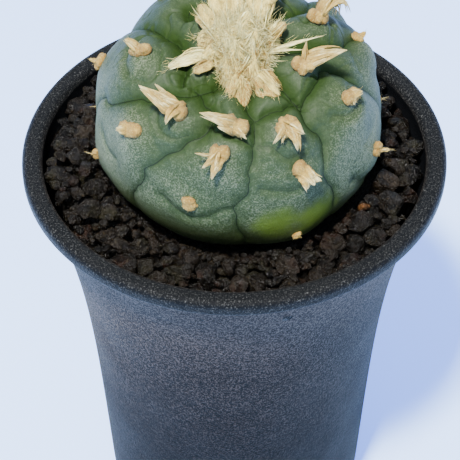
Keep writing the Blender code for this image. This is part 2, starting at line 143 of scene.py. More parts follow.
# %% Node helpers
class Finish:
    """A material under construction, with its Principled shader at hand."""

    def __init__(self, name, roughness=0.5):
        self.material = bpy.data.materials.new(name)
        self.material.use_nodes = True
        self.tree = self.material.node_tree
        self.shader = self.tree.nodes["Principled BSDF"]
        self.shader.inputs["Roughness"].default_value = roughness

    def node(self, kind, settings=None, **links):
        made = self.tree.nodes.new(kind)
        for key, value in (settings or {}).items():
            setattr(made, key, value)
        for key, value in links.items():
            self.link(value, made.inputs[key.replace("_", " ")])
        return made

    def link(self, value, socket):
        if isinstance(value, bpy.types.NodeSocket):
            self.tree.links.new(value, socket)
        else:
            socket.default_value = value

    def set(self, name, value):
        self.link(value, self.shader.inputs[name])

    def place(self):
        return self.node("ShaderNodeTexCoord").outputs["Object"]

    def attribute(self, name):
        return self.node("ShaderNodeAttribute", {"attribute_name": name})

    def noise(self, vector, scale, detail=2.0, rough=0.5):
        made = self.node("ShaderNodeTexNoise", Vector=vector, Scale=scale, Detail=detail, Roughness=rough)
        return made.outputs["Fac"]

    def ramp(self, value, low, high, to_low=0.0, to_high=1.0):
        made = self.node("ShaderNodeMapRange", {"interpolation_type": "SMOOTHSTEP"}, Value=value)
        for key, number in (("From Min", low), ("From Max", high), ("To Min", to_low), ("To Max", to_high)):
            made.inputs[key].default_value = number
        return made.outputs["Result"]

    def maths(self, operation, first, second=0.5):
        made = self.node("ShaderNodeMath", {"operation": operation})
        self.link(first, made.inputs[0])
        self.link(second, made.inputs[1])
        return made.outputs[0]

    def blend(self, share, first, second):
        made = self.node("ShaderNodeMix", {"data_type": "RGBA", "clamp_factor": True})
        self.link(share, made.inputs[0])
        for value, socket in ((first, made.inputs[6]), (second, made.inputs[7])):
            self.link(value if isinstance(value, bpy.types.NodeSocket) else (*value, 1), socket)
        return made.outputs[2]

    def bump(self, height, distance, strength=1.0, under=None):
        made = self.node("ShaderNodeBump", Height=height, Distance=distance, Strength=strength)
        if under:
            self.link(under, made.inputs["Normal"])
        return made.outputs["Normal"]


FLOOR_GLOW = (0.08, 0.17, 1.0, 1.0)
FLOOR_GLOW_STRENGTH = 1.8
floor_finish = Finish("pale_paper", 0.9)
floor_grain = floor_finish.noise(floor_finish.place(), 6.0)
floor_finish.set("Base Color", floor_finish.blend(floor_grain, (0.56, 0.80, 0.97), (0.60, 0.84, 0.99)))
floor_finish.set("Emission Color", FLOOR_GLOW)
floor_finish.set("Emission Strength", FLOOR_GLOW_STRENGTH)
floor.data.materials.append(floor_finish.material)

# %% [markdown]
# ## Helpers for pieces
# Every piece is drawn in millimetres in a bmesh, turned into metres as it becomes an object, and
# left at the origin. It rides on the one body of the plant, hides the frame pieces it stands for, and
# takes its finish into a material slot.

# %% Piece helper
def finish_piece(name, bm, finish, stands_for=(), sharp_from=None):
    """Close the bmesh's seams, face it outwards and make it a piece of the plant."""
    bmesh.ops.remove_doubles(bm, verts=bm.verts, dist=0.0005)
    bmesh.ops.recalc_face_normals(bm, faces=bm.faces)
    bmesh.ops.scale(bm, vec=(MM, MM, MM), verts=bm.verts)
    mesh = bpy.data.meshes.new(name)
    bm.to_mesh(mesh)
    bm.free()
    mesh.polygons.foreach_set("use_smooth", [True] * len(mesh.polygons))
    if sharp_from:
        mesh.set_sharp_from_angle(angle=math.radians(sharp_from))
    piece = bpy.data.objects.new(name, mesh)
    bpy.context.scene.collection.objects.link(piece)
    mesh.materials.append(finish.material)
    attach(piece, "root")
    if stands_for:
        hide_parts(*stands_for)
    print(f"{name}: {len(mesh.polygons)} faces")
    return piece


# %% [markdown]
# ## The pot
# The real pot is blown or injection moulded in black plastic: an even taper, a trumpet flare under
# a rolled lip, and a foot that steps in above its drain slots. A round shell like this is one
# outline spun about the axis. The outline goes down the outside and comes back up the inside, so
# the wall has its real thickness. The lip is drawn as arcs, because its highlight is what shows.

# %% Outline of the pot
POT_WALL = 1.2
FOOT_RADIUS = 30.75
BODY_TAPER = 4.3
FLARE_POWER = 4.15
LIP_WIDTH = 4.4
LIP_DEPTH = 3.6
LIP_OVERHANG = 2.7
LEDGE_HEIGHT = 6.2
LEDGE_STEP = 1.0
FOOT_CHAMFER = 2.2
FOOT_RING = 1.8
FLOOR_LOW = 1.2
FLOOR_TOP = 2.6
DRAIN_RADIUS = 4.0

lip_foot = rim_height - LIP_DEPTH
flare = rim_radius - LIP_OVERHANG - FOOT_RADIUS - BODY_TAPER


def wall_radius(height):
    """The outer wall: an even taper and a flare that grows towards the rim."""
    share = max(0.0, (height - LEDGE_HEIGHT) / (lip_foot - LEDGE_HEIGHT))
    return FOOT_RADIUS + BODY_TAPER * share + flare * share ** FLARE_POWER


def arc(centre, radius_x, radius_z, start, end, steps):
    """Points on a stretch of an ellipse, angles in degrees from +X towards +Z."""
    angles = [math.radians(start + (end - start) * i / steps) for i in range(steps + 1)]
    return [(centre[0] + radius_x * math.cos(a), centre[1] + radius_z * math.sin(a)) for a in angles]


def pot_outline():
    """The pot's section as (radius, height), from the lip down the outside and back up inside."""
    lip_inner = rim_radius - LIP_WIDTH
    ledge = FOOT_RADIUS - LEDGE_STEP
    foot = ledge - FOOT_CHAMFER
    heights = [lip_foot - 0.6 + (LEDGE_HEIGHT + 0.3 - lip_foot + 0.6) * (i / 30) ** 1.4 for i in range(31)]
    points = arc((rim_radius - 1.5, rim_height - 1.5), 1.5, 1.5, 100, 0, 8)
    points += arc((rim_radius - 0.9, lip_foot + 0.9), 0.9, 0.9, 0, -90, 5)
    points += [(wall_radius(lip_foot) + 0.35, lip_foot), (wall_radius(lip_foot) + 0.05, lip_foot - 0.2)]
    points += [(wall_radius(height), height) for height in heights]
    points += arc((FOOT_RADIUS - 0.35, LEDGE_HEIGHT + 0.35), 0.35, 0.35, 0, -90, 4)
    points += [(ledge + 0.1, LEDGE_HEIGHT), (ledge, LEDGE_HEIGHT - 0.12)]
    points += arc((foot - 0.5, 0.6), 0.6, 0.6, -15, -90, 4)
    points += arc((foot - FOOT_RING + 0.4, 0.4), 0.4, 0.4, -90, -180, 3)
    points += [(foot - FOOT_RING, FLOOR_LOW)]
    points += [(DRAIN_RADIUS + 0.3, FLOOR_LOW), (DRAIN_RADIUS, FLOOR_LOW + 0.3)]
    points += [(DRAIN_RADIUS, FLOOR_TOP - 0.3), (DRAIN_RADIUS + 0.3, FLOOR_TOP)]
    chamfer = FOOT_CHAMFER * (1 - FLOOR_TOP / LEDGE_HEIGHT)
    inner_foot = ledge - POT_WALL
    points += [(inner_foot - chamfer, FLOOR_TOP), (inner_foot, LEDGE_HEIGHT)]
    points += [(wall_radius(height) - POT_WALL, height) for height in reversed(heights[1:-1])
               if height > LEDGE_HEIGHT + POT_WALL]
    points += arc((lip_inner + 1.6, rim_height - 1.9), 1.6, 1.9, 180, 92, 8)
    return points


def spin_outline(bm, points, closed, steps):
    """Sweep an outline in the XZ plane once round Z."""
    verts = [bm.verts.new((x, 0, z)) for x, z in points]
    edges = [bm.edges.new(pair) for pair in zip(verts, verts[1:])]
    if closed:
        edges.append(bm.edges.new((verts[-1], verts[0])))
    bmesh.ops.spin(bm, geom=verts + edges, cent=(0, 0, 0), axis=(0, 0, 1),
                   angle=math.tau, steps=steps, use_merge=True, use_duplicate=False)


POT_STEPS = 144
pot_bm = bmesh.new()
spin_outline(pot_bm, pot_outline(), True, POT_STEPS)
print("pot outline:", len(pot_outline()), "points, spun in", POT_STEPS, "steps")

# %% [markdown]
# ### Finish of the pot
# The mould of such a pot is spark-eroded, which leaves a fine, sandy grain, so the black plastic
# looks speckled grey. The grain is a noise drawn a little taller than wide. It tints the wall, breaks
# up its sheen and, with a coarser and a finer noise, lifts the surface as a bump. The flare under the
# lip is palest, a painted highlight, and the foot darkest, painted shade. The lip is smoother and
# blacker, with fine bright specks painted on its grain as glints. A few pale handling scuffs run
# level low on the front, as short streaks of noise stretched round the pot and kept to a small patch.
# The inner wall is wet and in shade, so it is painted nearly black as shade; an attribute tells it
# from the outside.

# %% Moulded plastic
pot_finish = Finish("moulded_black_plastic", 0.56)
place = pot_finish.place()
height_on_pot = pot_finish.node("ShaderNodeSeparateXYZ", Vector=place).outputs["Z"]
tall = pot_finish.node("ShaderNodeMapping", Vector=place)
tall.inputs["Scale"].default_value = (1.0, 1.0, 0.68)
grain = pot_finish.noise(tall.outputs["Vector"], 2900.0, 2.0, 0.6)
coarse = pot_finish.noise(place, 700.0, 2.0, 0.6)
cloud = pot_finish.noise(place, 60.0, 3.0, 0.6)
on_lip = pot_finish.ramp(height_on_pot, (lip_foot - 0.6) * MM, (lip_foot + 0.4) * MM)
inside = pot_finish.attribute("inside").outputs["Fac"]
GRAIN_DARK = (0.0006, 0.0004, 0.0004)
GRAIN_LIGHT = (0.0480, 0.0370, 0.0350)
body_tint = pot_finish.blend(pot_finish.ramp(grain, 0.46, 0.68), GRAIN_DARK, GRAIN_LIGHT)
body_tint = pot_finish.blend(pot_finish.ramp(cloud, 0.3, 0.7, 0.0, 0.20), body_tint, (0.0062, 0.0055, 0.0060))
fine = pot_finish.noise(place, 3000.0, 3.0, 0.7)
# Painted highlight: the flare under the lip is tinted paler, broken up by the grain.
painted_flare_highlight = pot_finish.maths("MULTIPLY", pot_finish.ramp(height_on_pot, 0.070, 0.098, 0.0, 0.8),
                                pot_finish.ramp(grain, 0.40, 0.66, 0.1, 1.0))
body_tint = pot_finish.blend(painted_flare_highlight, body_tint, (0.078, 0.059, 0.051))
# The lip is near black; its bright specks are painted glints on its grain.
LIP_DARK = (0.0040, 0.0045, 0.0052)
LIP_PAINTED_GLINTS = (0.085, 0.085, 0.080)
lip_tint = pot_finish.blend(pot_finish.ramp(fine, 0.52, 0.74), LIP_DARK, LIP_PAINTED_GLINTS)
streaks_at = pot_finish.node("ShaderNodeMapping", Vector=place)
streaks_at.inputs["Scale"].default_value = (1.0, 1.0, 6.0)
streaks = pot_finish.ramp(pot_finish.noise(streaks_at.outputs["Vector"], 260.0, 3.0, 0.7), 0.60, 0.70)
SCUFF_PLACE = (0.0095, -0.031, 0.0225)
scuff_from = pot_finish.node("ShaderNodeVectorMath", {"operation": "DISTANCE"})
pot_finish.link(place, scuff_from.inputs[0])
pot_finish.link(SCUFF_PLACE, scuff_from.inputs[1])
near_scuff = pot_finish.ramp(scuff_from.outputs["Value"], 0.0095, 0.002)
scuffs = pot_finish.maths("MULTIPLY", streaks, near_scuff)
tint = pot_finish.blend(on_lip, body_tint, lip_tint)
# Painted shade: the wall is tinted darker towards the foot.
painted_foot_shade = pot_finish.ramp(height_on_pot, 0.092, 0.020, 0.0, 0.75)
tint = pot_finish.blend(painted_foot_shade, tint, (0.0012, 0.0010, 0.0011))
# Painted shade: the wet inner wall, which lies in shade, is tinted nearly black.
tint = pot_finish.blend(inside, tint, (0.0030, 0.0034, 0.0042))
pot_finish.set("Base Color", pot_finish.blend(scuffs, tint, (0.12, 0.125, 0.14)))
rough = pot_finish.ramp(cloud, 0.2, 0.8, 0.52, 0.64)
pot_finish.set("Roughness", pot_finish.maths("SUBTRACT", rough, pot_finish.maths("MULTIPLY", on_lip, 0.16)))
pot_finish.set("Specular IOR Level", pot_finish.ramp(inside, 0.0, 1.0, 0.055, 0.045))
outer = pot_finish.maths("SUBTRACT", 1.0, inside)
outer = pot_finish.maths("SUBTRACT", outer, pot_finish.maths("MULTIPLY", on_lip, 0.8))
grainy = pot_finish.maths("MULTIPLY", outer, pot_finish.ramp(grain, 0.38, 0.64, 0.15, 2.0))
sheen_by_height = pot_finish.ramp(height_on_pot, 0.094, 0.030, 0.068, 0.014)
pot_finish.set("Sheen Weight", pot_finish.maths("MULTIPLY", grainy, sheen_by_height))
pot_finish.set("Sheen Roughness", 0.40)
pot_finish.set("Sheen Tint", (1.0, 0.80, 0.66, 1.0))
sandy = pot_finish.bump(coarse, 0.00026, 0.6)
sandy = pot_finish.bump(grain, 0.00024, 1.0, sandy)
pot_finish.set("Normal", pot_finish.bump(fine, 0.00012, 0.6, sandy))
print("scuffs at", SCUFF_PLACE)

# %% [markdown]
# ### Drain slots
# Under the ledge the foot is pierced by slots, so that water leaves sideways. Each one is a box cut
# out of the wall. The boxes are joined into one cutter, the cut is applied at once, and the cutter
# is removed, so nothing but the pierced pot is left.

# %% Cut the slots
SLOT_COUNT = 6
SLOT_WIDTH = 10.0
SLOT_HEIGHT = 1.9
SLOT_FIRST_AZIMUTH = 80.0

pot = finish_piece("pot_shell", pot_bm, pot_finish, ["pot"])
slots_bm = bmesh.new()
for index in range(SLOT_COUNT):
    slot = bmesh.ops.create_cube(slots_bm, size=1)["verts"]
    foot_radius = FOOT_RADIUS - LEDGE_STEP - FOOT_CHAMFER + POT_WALL
    bmesh.ops.scale(slots_bm, vec=(SLOT_WIDTH, 5 * POT_WALL, SLOT_HEIGHT), verts=slot)
    bmesh.ops.translate(slots_bm, vec=(0, -foot_radius, LEDGE_HEIGHT - SLOT_HEIGHT / 2 - 0.2), verts=slot)
    around = math.radians(SLOT_FIRST_AZIMUTH + index * 360 / SLOT_COUNT)
    bmesh.ops.rotate(slots_bm, verts=slot, matrix=Matrix.Rotation(around, 3, "Z"))
bmesh.ops.scale(slots_bm, vec=(MM, MM, MM), verts=slots_bm.verts)
slots_mesh = bpy.data.meshes.new("slots")
slots_bm.to_mesh(slots_mesh)
slots_bm.free()
slots = bpy.data.objects.new("slots", slots_mesh)
bpy.context.scene.collection.objects.link(slots)
pierce = pot.modifiers.new("pierce", "BOOLEAN")
pierce.solver = "EXACT"
pierce.object = slots
pierced = bpy.data.meshes.new_from_object(pot.evaluated_get(bpy.context.evaluated_depsgraph_get()))
pot.modifiers.clear()
pot.data = pierced
bpy.data.objects.remove(slots)
marks = pierced.attributes.new("inside", "FLOAT", "POINT")
for index, vert in enumerate(pierced.vertices):
    out_to = math.hypot(vert.co.x, vert.co.y) / MM
    height = vert.co.z / MM
    within = out_to < wall_radius(height) - 0.6 * POT_WALL and FLOOR_TOP - 0.1 < height < rim_height - 1.6
    marks.data[index].value = float(within)
print("slots cut:", SLOT_COUNT, "faces now", len(pot.data.polygons))

# %% [markdown]
# ## The form of the plant
# The stem is a flattened, slightly square ball. Nine furrows, most of them from near the growing
# point, run down to the soil and part it into ribs. Short inner furrows join them across the crown,
# and lesser folds part each rib into tubercles. Each tubercle carries one felt tuft, its areole. A
# place on the plant is (azimuth, latitude): azimuth 0 is the front and grows to the right, and
# latitude 90 is the top. The lines are given as a few places each, and a smooth curve is
# passed through them.

# %% Smooth body and its lines
PLANT_RADIUS = 30.8
PLANT_TOP = 24.4
PLANT_BOTTOM = 21.6
PLANT_FULLNESS = 2.3
PLANT_CENTRE = np.array([0.9, 1.0, rim_height + 7.7])

FURROWS = [
    [(-10, 72), (-65, 63), (-85, 61), (-95, 58), (-101, 54), (-107, 50), (-113, 44), (-117, 38),
     (-121, 28), (-124, 12), (-124, -8), (-122, -30)],
    [(-14, 62), (-22, 55), (-29, 50), (-35, 47), (-45, 44), (-50, 42), (-54, 37), (-59, 35), (-63, 32),
     (-66, 29), (-70, 25), (-75, 21), (-82, 18), (-87, 10), (-88, -6), (-88, -30)],
    [(-31, 51), (-27, 50), (-22, 46), (-17, 45), (-14, 42), (-15, 38), (-18, 33), (-23, 30), (-26, 26),
     (-32, 22), (-36, 17), (-40, 13), (-40, 8), (-42, 4), (-46, -3), (-49, -12), (-50, -30)],
    [(4, 62), (5, 47), (6, 43), (8, 40), (8, 36), (6, 30), (5, 25), (3, 21), (4, 17), (3, 12), (0, 8),
     (-2, 4), (-1, 0), (-1, -5), (0, -10), (2, -16), (4, -30)],
    [(22, 66), (30, 56), (33, 51), (34, 47), (35, 43), (35, 39), (34, 35), (35, 31), (38, 28), (38, 22),
     (36, 16), (35, 12), (37, 6), (40, 0), (41, -8), (43, -30)],
    [(36, 40), (39, 42), (44, 44), (51, 45), (58, 46), (65, 47), (70, 45), (73, 40), (73, 35), (76, 29),
     (80, 22), (84, 12), (87, 0), (88, -30)],
    [(60, 74), (74, 66), (80, 59), (85, 53), (90, 46), (98, 38), (107, 31), (114, 20), (119, 8),
     (120, -8), (121, -30)],
    [(139, 70), (134, 62), (131, 56), (131, 49), (134, 42), (141, 33), (148, 22), (153, 8), (155, -10),
     (156, -30)],
    [(-165, 70), (-160, 54), (-163, 38), (-166, 20), (-165, 2), (-164, -14), (-163, -30)],
]
INNER_FURROWS = [
    [(8, 40), (11, 41), (15, 42), (20, 43), (25, 43), (29, 44), (35, 43)],
    [(-14, 38), (-12, 36), (-10, 36), (-7, 35), (-3, 34), (1, 33), (5, 31)],
    [(-66, 64), (-58, 60), (-50, 56), (-44, 51)],
    [(176, 66), (172, 56), (160, 50), (151, 44)],
    [(-126, 60), (-134, 56), (-141, 58), (-150, 62)],
]
FOLDS = [
    [(-30, 3), (-26, 1), (-22, -1), (-18, -2), (-14, -1), (-10, 1), (-6, 3), (-3, 4)],
    [(10, 31), (14, 30), (18, 26), (22, 24), (26, 25)],
    [(10, 13), (14, 12), (19, 11), (24, 11)],
    [(49, 31), (53, 29), (58, 28), (64, 29), (66, 31)],
    [(52, -2), (58, -7), (67, -12)],
    [(-44, 38), (-40, 33), (-35, 30), (-29, 30), (-25, 32)],
    [(-100, 44), (-94, 41), (-88, 39), (-80, 38), (-75, 38)],
    [(-110, 60), (-117, 61), (-123, 63), (-130, 68)],
    [(115, 45), (109, 44), (100, 44)],
    [(62, 56), (70, 52), (76, 50)], [(-70, 8), (-64, 5), (-58, 6)], [(-117, 3), (-107, 1), (-97, 3)],
    [(98, 15), (105, 12), (112, 14)], [(126, 19), (135, 16), (145, 18)], [(160, 14), (172, 11), (188, 14)],
    [(165, 38), (174, 36), (185, 38)], [(-155, 40), (-146, 38), (-136, 41)],
    [(-157, 14), (-146, 12), (-135, 14)],
]


def body_point(azimuth, latitude):
    """A point of the smooth body, in millimetres from the plant's centre."""
    around = np.radians(np.asarray(azimuth, float))
    up = np.radians(np.asarray(latitude, float))
    towards = np.stack([np.cos(up) * np.sin(around), -np.cos(up) * np.cos(around), np.sin(up)], axis=-1)
    across = np.hypot(towards[..., 0], towards[..., 1]) / PLANT_RADIUS
    along = np.abs(towards[..., 2]) / np.where(towards[..., 2] > 0, PLANT_TOP, PLANT_BOTTOM)
    reach = (across ** PLANT_FULLNESS + along ** PLANT_FULLNESS) ** (-1 / PLANT_FULLNESS)
    return towards * reach[..., None]


def unit(vector):
    """The same direction at length one."""
    return vector / max(1e-9, float(np.linalg.norm(vector)))


def rows_unit(rows):
    """Every row's direction at length one."""
    return rows / np.maximum(1e-9, np.linalg.norm(rows, axis=1))[:, None]


def smooth_line(places, per_stretch=14):
    """A smooth curve on the body through a few places (Catmull-Rom in space)."""
    knots = body_point([place[0] for place in places], [place[1] for place in places])
    knots = np.vstack([2 * knots[0] - knots[1], knots, 2 * knots[-1] - knots[-2]])
    share = np.linspace(0, 1, per_stretch, endpoint=False)[:, None]
    stretches = []
    for a, b, c, d in zip(knots, knots[1:], knots[2:], knots[3:]):
        stretches.append(0.5 * (2 * b + (c - a) * share + (2 * a - 5 * b + 4 * c - d) * share ** 2
                                + (3 * b - a - 3 * c + d) * share ** 3))
    return np.concatenate(stretches)


print(len(FURROWS), "furrows,", len(INNER_FURROWS) + len(FOLDS), "inner furrows and folds")

# %% [markdown]
# ### Areoles
# Each tuft grows from an areole at the top of a tubercle. The list gives its place, the width of
# its pad, and its wisps: where each wisp's tip lies from the pad, in millimetres, and how wide and
# how strongly arched the wisp is. Young tufts near the crown are long, old ones low down are
# worn to buttons. The far side carries on the same pattern.

# %% Places of the tufts
# (azimuth, latitude, pad width, pad length, pad height, [(tip dx, dy, dz, wisp width, arch), ...])
AREOLES = [
    (-104, 17, 2.6, 3.2, 1.5, [(-2.2, 0.2, 0.2, 1.7, 0.6)]),
    (-80, 46, 2.6, 4.2, 1.5, [(-3.2, 0.6, 2.4, 2.0, 0.6)]),
    (-106, -8, 2.0, 2.2, 1.0, [(-0.9, 0.3, -0.2, 1.0, 0.3)]),
    (-32, 40, 3.0, 3.6, 2.0, [(-8.4, 2.0, 5.4, 3.0, 0.8), (-4.8, 2.6, 5.2, 1.6, 0.3),
                              (-2.4, -4.0, -1.2, 2.4, 2.2), (-3.8, 0.4, 2.4, 2.6, 1.2)]),
    (-50, 25, 2.7, 4.8, 1.3, [(-2.6, -0.6, 0.8, 1.8, 0.4), (2.0, 0.4, 0.0, 1.6, 0.5)]),
    (-74, -5, 1.5, 1.9, 1.0, [(-0.9, -0.2, 0.5, 0.7, 0.3)]),
    (-2, 38, 3.2, 4.4, 1.7, [(-8.0, -0.2, 4.4, 2.6, 1.0), (-5.6, -0.6, 3.4, 2.4, 1.2),
                             (2.6, -2.2, -2.0, 1.4, 1.2), (-4.0, -1.8, 1.6, 2.2, 0.9)]),
    (-8, 28, 2.9, 3.2, 1.8, [(-5.6, -1.2, 1.6, 1.0, 0.3), (-3.9, -3.4, -1.0, 1.6, 1.0),
                             (-1.8, -4.4, -3.6, 2.4, 1.8), (-0.4, -3.0, -1.6, 2.4, 1.6)]),
    (-19, 6, 2.6, 2.6, 1.0, []),
    (22, 36, 3.2, 3.8, 2.0, [(-3.4, -4.4, -1.8, 1.4, 2.6), (2.2, -5.0, -3.4, 2.6, 3.2),
                             (3.6, -2.6, -0.4, 2.8, 1.8), (-1.4, -3.6, -2.4, 1.2, 2.4)]),
    (25, 18, 3.0, 3.6, 1.5, [(4.0, -2.0, -0.8, 2.4, 0.8), (0.8, -3.2, -2.4, 2.2, 1.2),
                             (2.4, -2.8, -1.6, 2.6, 1.0)]),
    (23, -15, 1.6, 1.6, 0.8, []),
    (60, 33, 2.8, 3.6, 1.5, [(2.2, -0.5, 1.6, 1.6, 0.3), (0.2, -2.0, -1.2, 1.3, 0.5)]),
    (66, 4, 2.4, 2.6, 1.3, [(2.3, -0.6, 0.5, 1.8, 0.4)]),
    (52, 54, 3.2, 3.8, 2.0, [(9.6, -0.6, 4.4, 3.6, 1.2), (0.4, 2.2, 4.8, 1.5, 0.4),
                             (5.2, -0.6, 1.8, 3.8, 1.2), (-0.6, -2.4, -1.2, 1.0, 0.6)]),
    (109, 28, 2.2, 2.6, 1.4, [(1.6, 0.6, 1.2, 1.4, 0.3)]),
    (104, -4, 1.8, 2.0, 1.0, [(0.8, 0.2, -0.1, 0.9, 0.2)]),
    (106, 53, 3.2, 3.6, 2.4, [(7.4, 0.6, -0.2, 2.2, 6.6), (5.0, 0.8, -1.2, 1.2, 6.0),
                              (3.2, 1.6, 4.2, 3.2, 1.6)]),
    (136, 30, 2.8, 3.4, 1.5, [(1.6, 2.0, 1.8, 1.8, 0.6)]),
    (138, 2, 2.2, 2.4, 1.1, [(0.7, 0.8, 0.2, 1.2, 0.3)]),
    (174, 48, 3.0, 3.6, 1.8, [(0.8, 5.0, 3.8, 2.6, 1.4), (-2.4, 3.2, 3.4, 1.8, 0.8)]),
    (175, 26, 2.8, 3.2, 1.5, [(-0.8, 2.8, 0.6, 2.0, 1.0)]),
    (176, 0, 2.2, 2.2, 1.0, [(0.0, 1.0, 0.2, 1.0, 0.3)]),
    (-146, 50, 3.0, 3.6, 1.8, [(-3.6, 4.6, 3.0, 2.6, 1.6), (-0.6, 4.0, 4.4, 1.6, 0.6)]),
    (-145, 27, 2.6, 3.2, 1.4, [(-1.4, 2.4, 0.8, 1.8, 0.7)]),
    (-143, 0, 2.2, 2.4, 1.0, [(-0.6, 0.8, 0.2, 1.0, 0.3)]),
]
print(len(AREOLES), "areoles")

# %% [markdown]
# ### Relief of the skin
# The skin is tight over each tubercle and pinched where two of them meet. So a furrow pulls the
# surface down twice: a wide valley, sharp at its bottom, and a narrow pinch right at the line. The
# folds do the same more softly. The valleys deepen towards the crown, where the tubercles are young
# and crowded, and small wrinkles run there wherever a noise passes through zero. Each areole stands
# near the top of a low dome. The same distances are kept as attributes, because the finish needs
# them: creases get painted shade, and valleys are greener and get painted shade too.

# %% Measure the skin against its lines
class LineSet:
    """Lines on the body, and for any point the nearest line's distance and side."""

    def __init__(self, lines):
        curves = [smooth_line(line) for line in lines]
        self.points = np.concatenate(curves)
        tangents = np.concatenate([np.gradient(curve, axis=0) for curve in curves])
        self.tangents = tangents / np.linalg.norm(tangents, axis=1)[:, None]

    def nearest(self, points, batch=4000):
        """The distance to the lines and a side, +1 or -1, that changes across a line."""
        distance = np.empty(len(points))
        side = np.empty(len(points))
        for start in range(0, len(points), batch):
            part = points[start:start + batch]
            square = ((part ** 2).sum(1)[:, None] + (self.points ** 2).sum(1)[None, :]
                      - 2 * part @ self.points.T)
            best = square.argmin(axis=1)
            off = part - self.points[best]
            tangent = self.tangents[best]
            along = (off * tangent).sum(1)
            end_gap = np.maximum(0, np.abs(along) - 0.6)
            across = np.sqrt(np.maximum(0, (off ** 2).sum(1) - along ** 2))
            distance[start:start + batch] = np.hypot(across, end_gap)
            side[start:start + batch] = np.sign((np.cross(tangent, off) * part).sum(1))
        return distance, side


def gauss(distance, width):
    """A soft profile: one on the line, round at its bottom, fading to nothing."""
    return np.exp(-(distance / width) ** 2)


def cleft(distance, width):
    """A sharper profile, as of skin drawn in along a furrow."""
    return np.exp(-(distance / width) ** 1.35)


WOBBLE = 0.35
WOBBLE_PARTS = (Vector((5.3, 2.1, 8.7)), Vector((-3.4, 9.2, 4.6)), Vector((6.8, -7.5, 1.9)))


def wobbled(points):
    """The points pushed about a little, the same way each run, so that no line runs quite true."""
    pushes = [[noise.noise(Vector(point) * 0.35 + part) for part in WOBBLE_PARTS] for point in points]
    return points + WOBBLE * np.array(pushes)


def skin_relief(points, latitude):
    """How far the skin stands off the smooth body, and what the finish needs to know."""
    moved = wobbled(points)
    furrow, furrow_side = LineSet(FURROWS).nearest(moved)
    inner, inner_side = LineSet(INNER_FURROWS).nearest(moved)
    fold, fold_side = LineSet(FOLDS).nearest(moved)
    crown = np.clip((latitude - 12) / 45, 0, 1) ** 1.2
    fade = np.clip((latitude + 55) / 30, 0, 1)
    valley = np.maximum.reduce([(0.45 + 2.6 * crown) * cleft(furrow, 1.9 + 1.5 * crown),
                                (0.5 + 1.9 * crown) * cleft(inner, 2.1),
                                (0.5 + 0.5 * crown) * gauss(fold, 1.5)])
    pinch = np.maximum.reduce([0.30 * gauss(furrow, 0.5), 0.34 * gauss(inner, 0.5), 0.16 * gauss(fold, 0.5)])
    dome = np.zeros(len(points))
    for azimuth, areole_latitude, *_ in AREOLES:
        low = body_point(azimuth, areole_latitude - 4)
        away = np.linalg.norm(points - low, axis=1)
        dome = np.maximum(dome, (0.9 + 0.9 * (areole_latitude > 22)) * gauss(away, 6.2))
    hollow = 2.4 * gauss(np.linalg.norm(points - body_point(2, 80), axis=1), 7.0)
    sag = 0.25 * np.array([noise.noise(Vector(point) * 0.16) for point in points])
    folds_at = np.array([noise.noise(Vector(point) * 0.19 + Vector((7, 3, 1))) for point in points])
    wrinkle = np.clip((latitude - 24) / 25, 0, 1) * np.exp(-(folds_at / 0.055) ** 2)
    lift = fade * (dome - 1.05 - valley - pinch - hollow + sag - 0.55 * wrinkle)
    nearest = np.argmin(np.stack([furrow, inner * 1.02, fold * 1.15]), axis=0)
    crease = np.choose(nearest, [furrow * furrow_side, inner * inner_side, fold * fold_side])
    # How strongly each kind of line gets painted crease shade.
    crease_shade_share = np.choose(nearest, [np.full(len(points), share) for share in (1.0, 0.9, 0.4)])
    deep = 0.30 + 0.70 * crown
    valley_share = np.maximum.reduce([0.6 * wrinkle, deep * gauss(furrow, 1.8 + 1.3 * crown),
                                      deep * gauss(inner, 1.9), 0.35 * gauss(fold, 2.0)])
    return lift, {"crease": crease, "crease_painted_shade": crease_shade_share, "valley": valley_share, "dome": dome}


# %% [markdown]
# ### The stem
# A UV sphere gives rings and meridians that suit a round plant. It is made half as fine and then
# subdivided, which is much quicker. Its rings are crowded over the part that shows, and the last few
# run down the buried taproot. Each vertex is moved to the smooth body and then lifted by the relief.

# %% Model the stem and root
SKIN_STEPS = 480
SKIN_RINGS = 190
BODY_RINGS = 172
LOWEST_LATITUDE = -62.0
ROOT_LENGTH = 46.0
ROOT_TIP = 1.6

skin_bm = bmesh.new()
bmesh.ops.create_uvsphere(skin_bm, u_segments=SKIN_STEPS // 2, v_segments=SKIN_RINGS // 2, radius=1)
bmesh.ops.subdivide_edges(skin_bm, edges=skin_bm.edges, cuts=1, use_grid_fill=True)
ball = rows_unit(np.array([vert.co for vert in skin_bm.verts]))
azimuths = np.degrees(np.arctan2(ball[:, 0], -ball[:, 1]))
rings = SKIN_RINGS * np.arccos(np.clip(ball[:, 2], -1, 1)) / math.pi
body_share = np.clip(rings / BODY_RINGS, 0, 1)
latitudes = 90 - (90 - LOWEST_LATITUDE) * (0.86 * body_share + 0.14 * body_share ** 3)
smooth = body_point(azimuths, latitudes)
lift, skin_facts = skin_relief(smooth, latitudes)
outward = smooth / np.array([PLANT_RADIUS, PLANT_RADIUS, PLANT_TOP]) ** 2
outward = outward / np.linalg.norm(outward, axis=1)[:, None]
skin_places = smooth + outward * lift[:, None]
root_share = np.clip((rings - BODY_RINGS) / (SKIN_RINGS - BODY_RINGS), 0, 1)
neck = np.hypot(smooth[:, 0], smooth[:, 1])
root_radius = np.where(root_share < 0.999, ROOT_TIP + (neck - ROOT_TIP) * (1 - root_share) ** 1.4, 0)
in_root = root_share > 0
squeeze = root_radius[in_root] / np.maximum(neck[in_root], 0.001)
skin_places[in_root, 0] = smooth[in_root, 0] * squeeze
skin_places[in_root, 1] = smooth[in_root, 1] * squeeze
skin_places[in_root, 2] = smooth[in_root, 2] - ROOT_LENGTH * root_share[in_root]
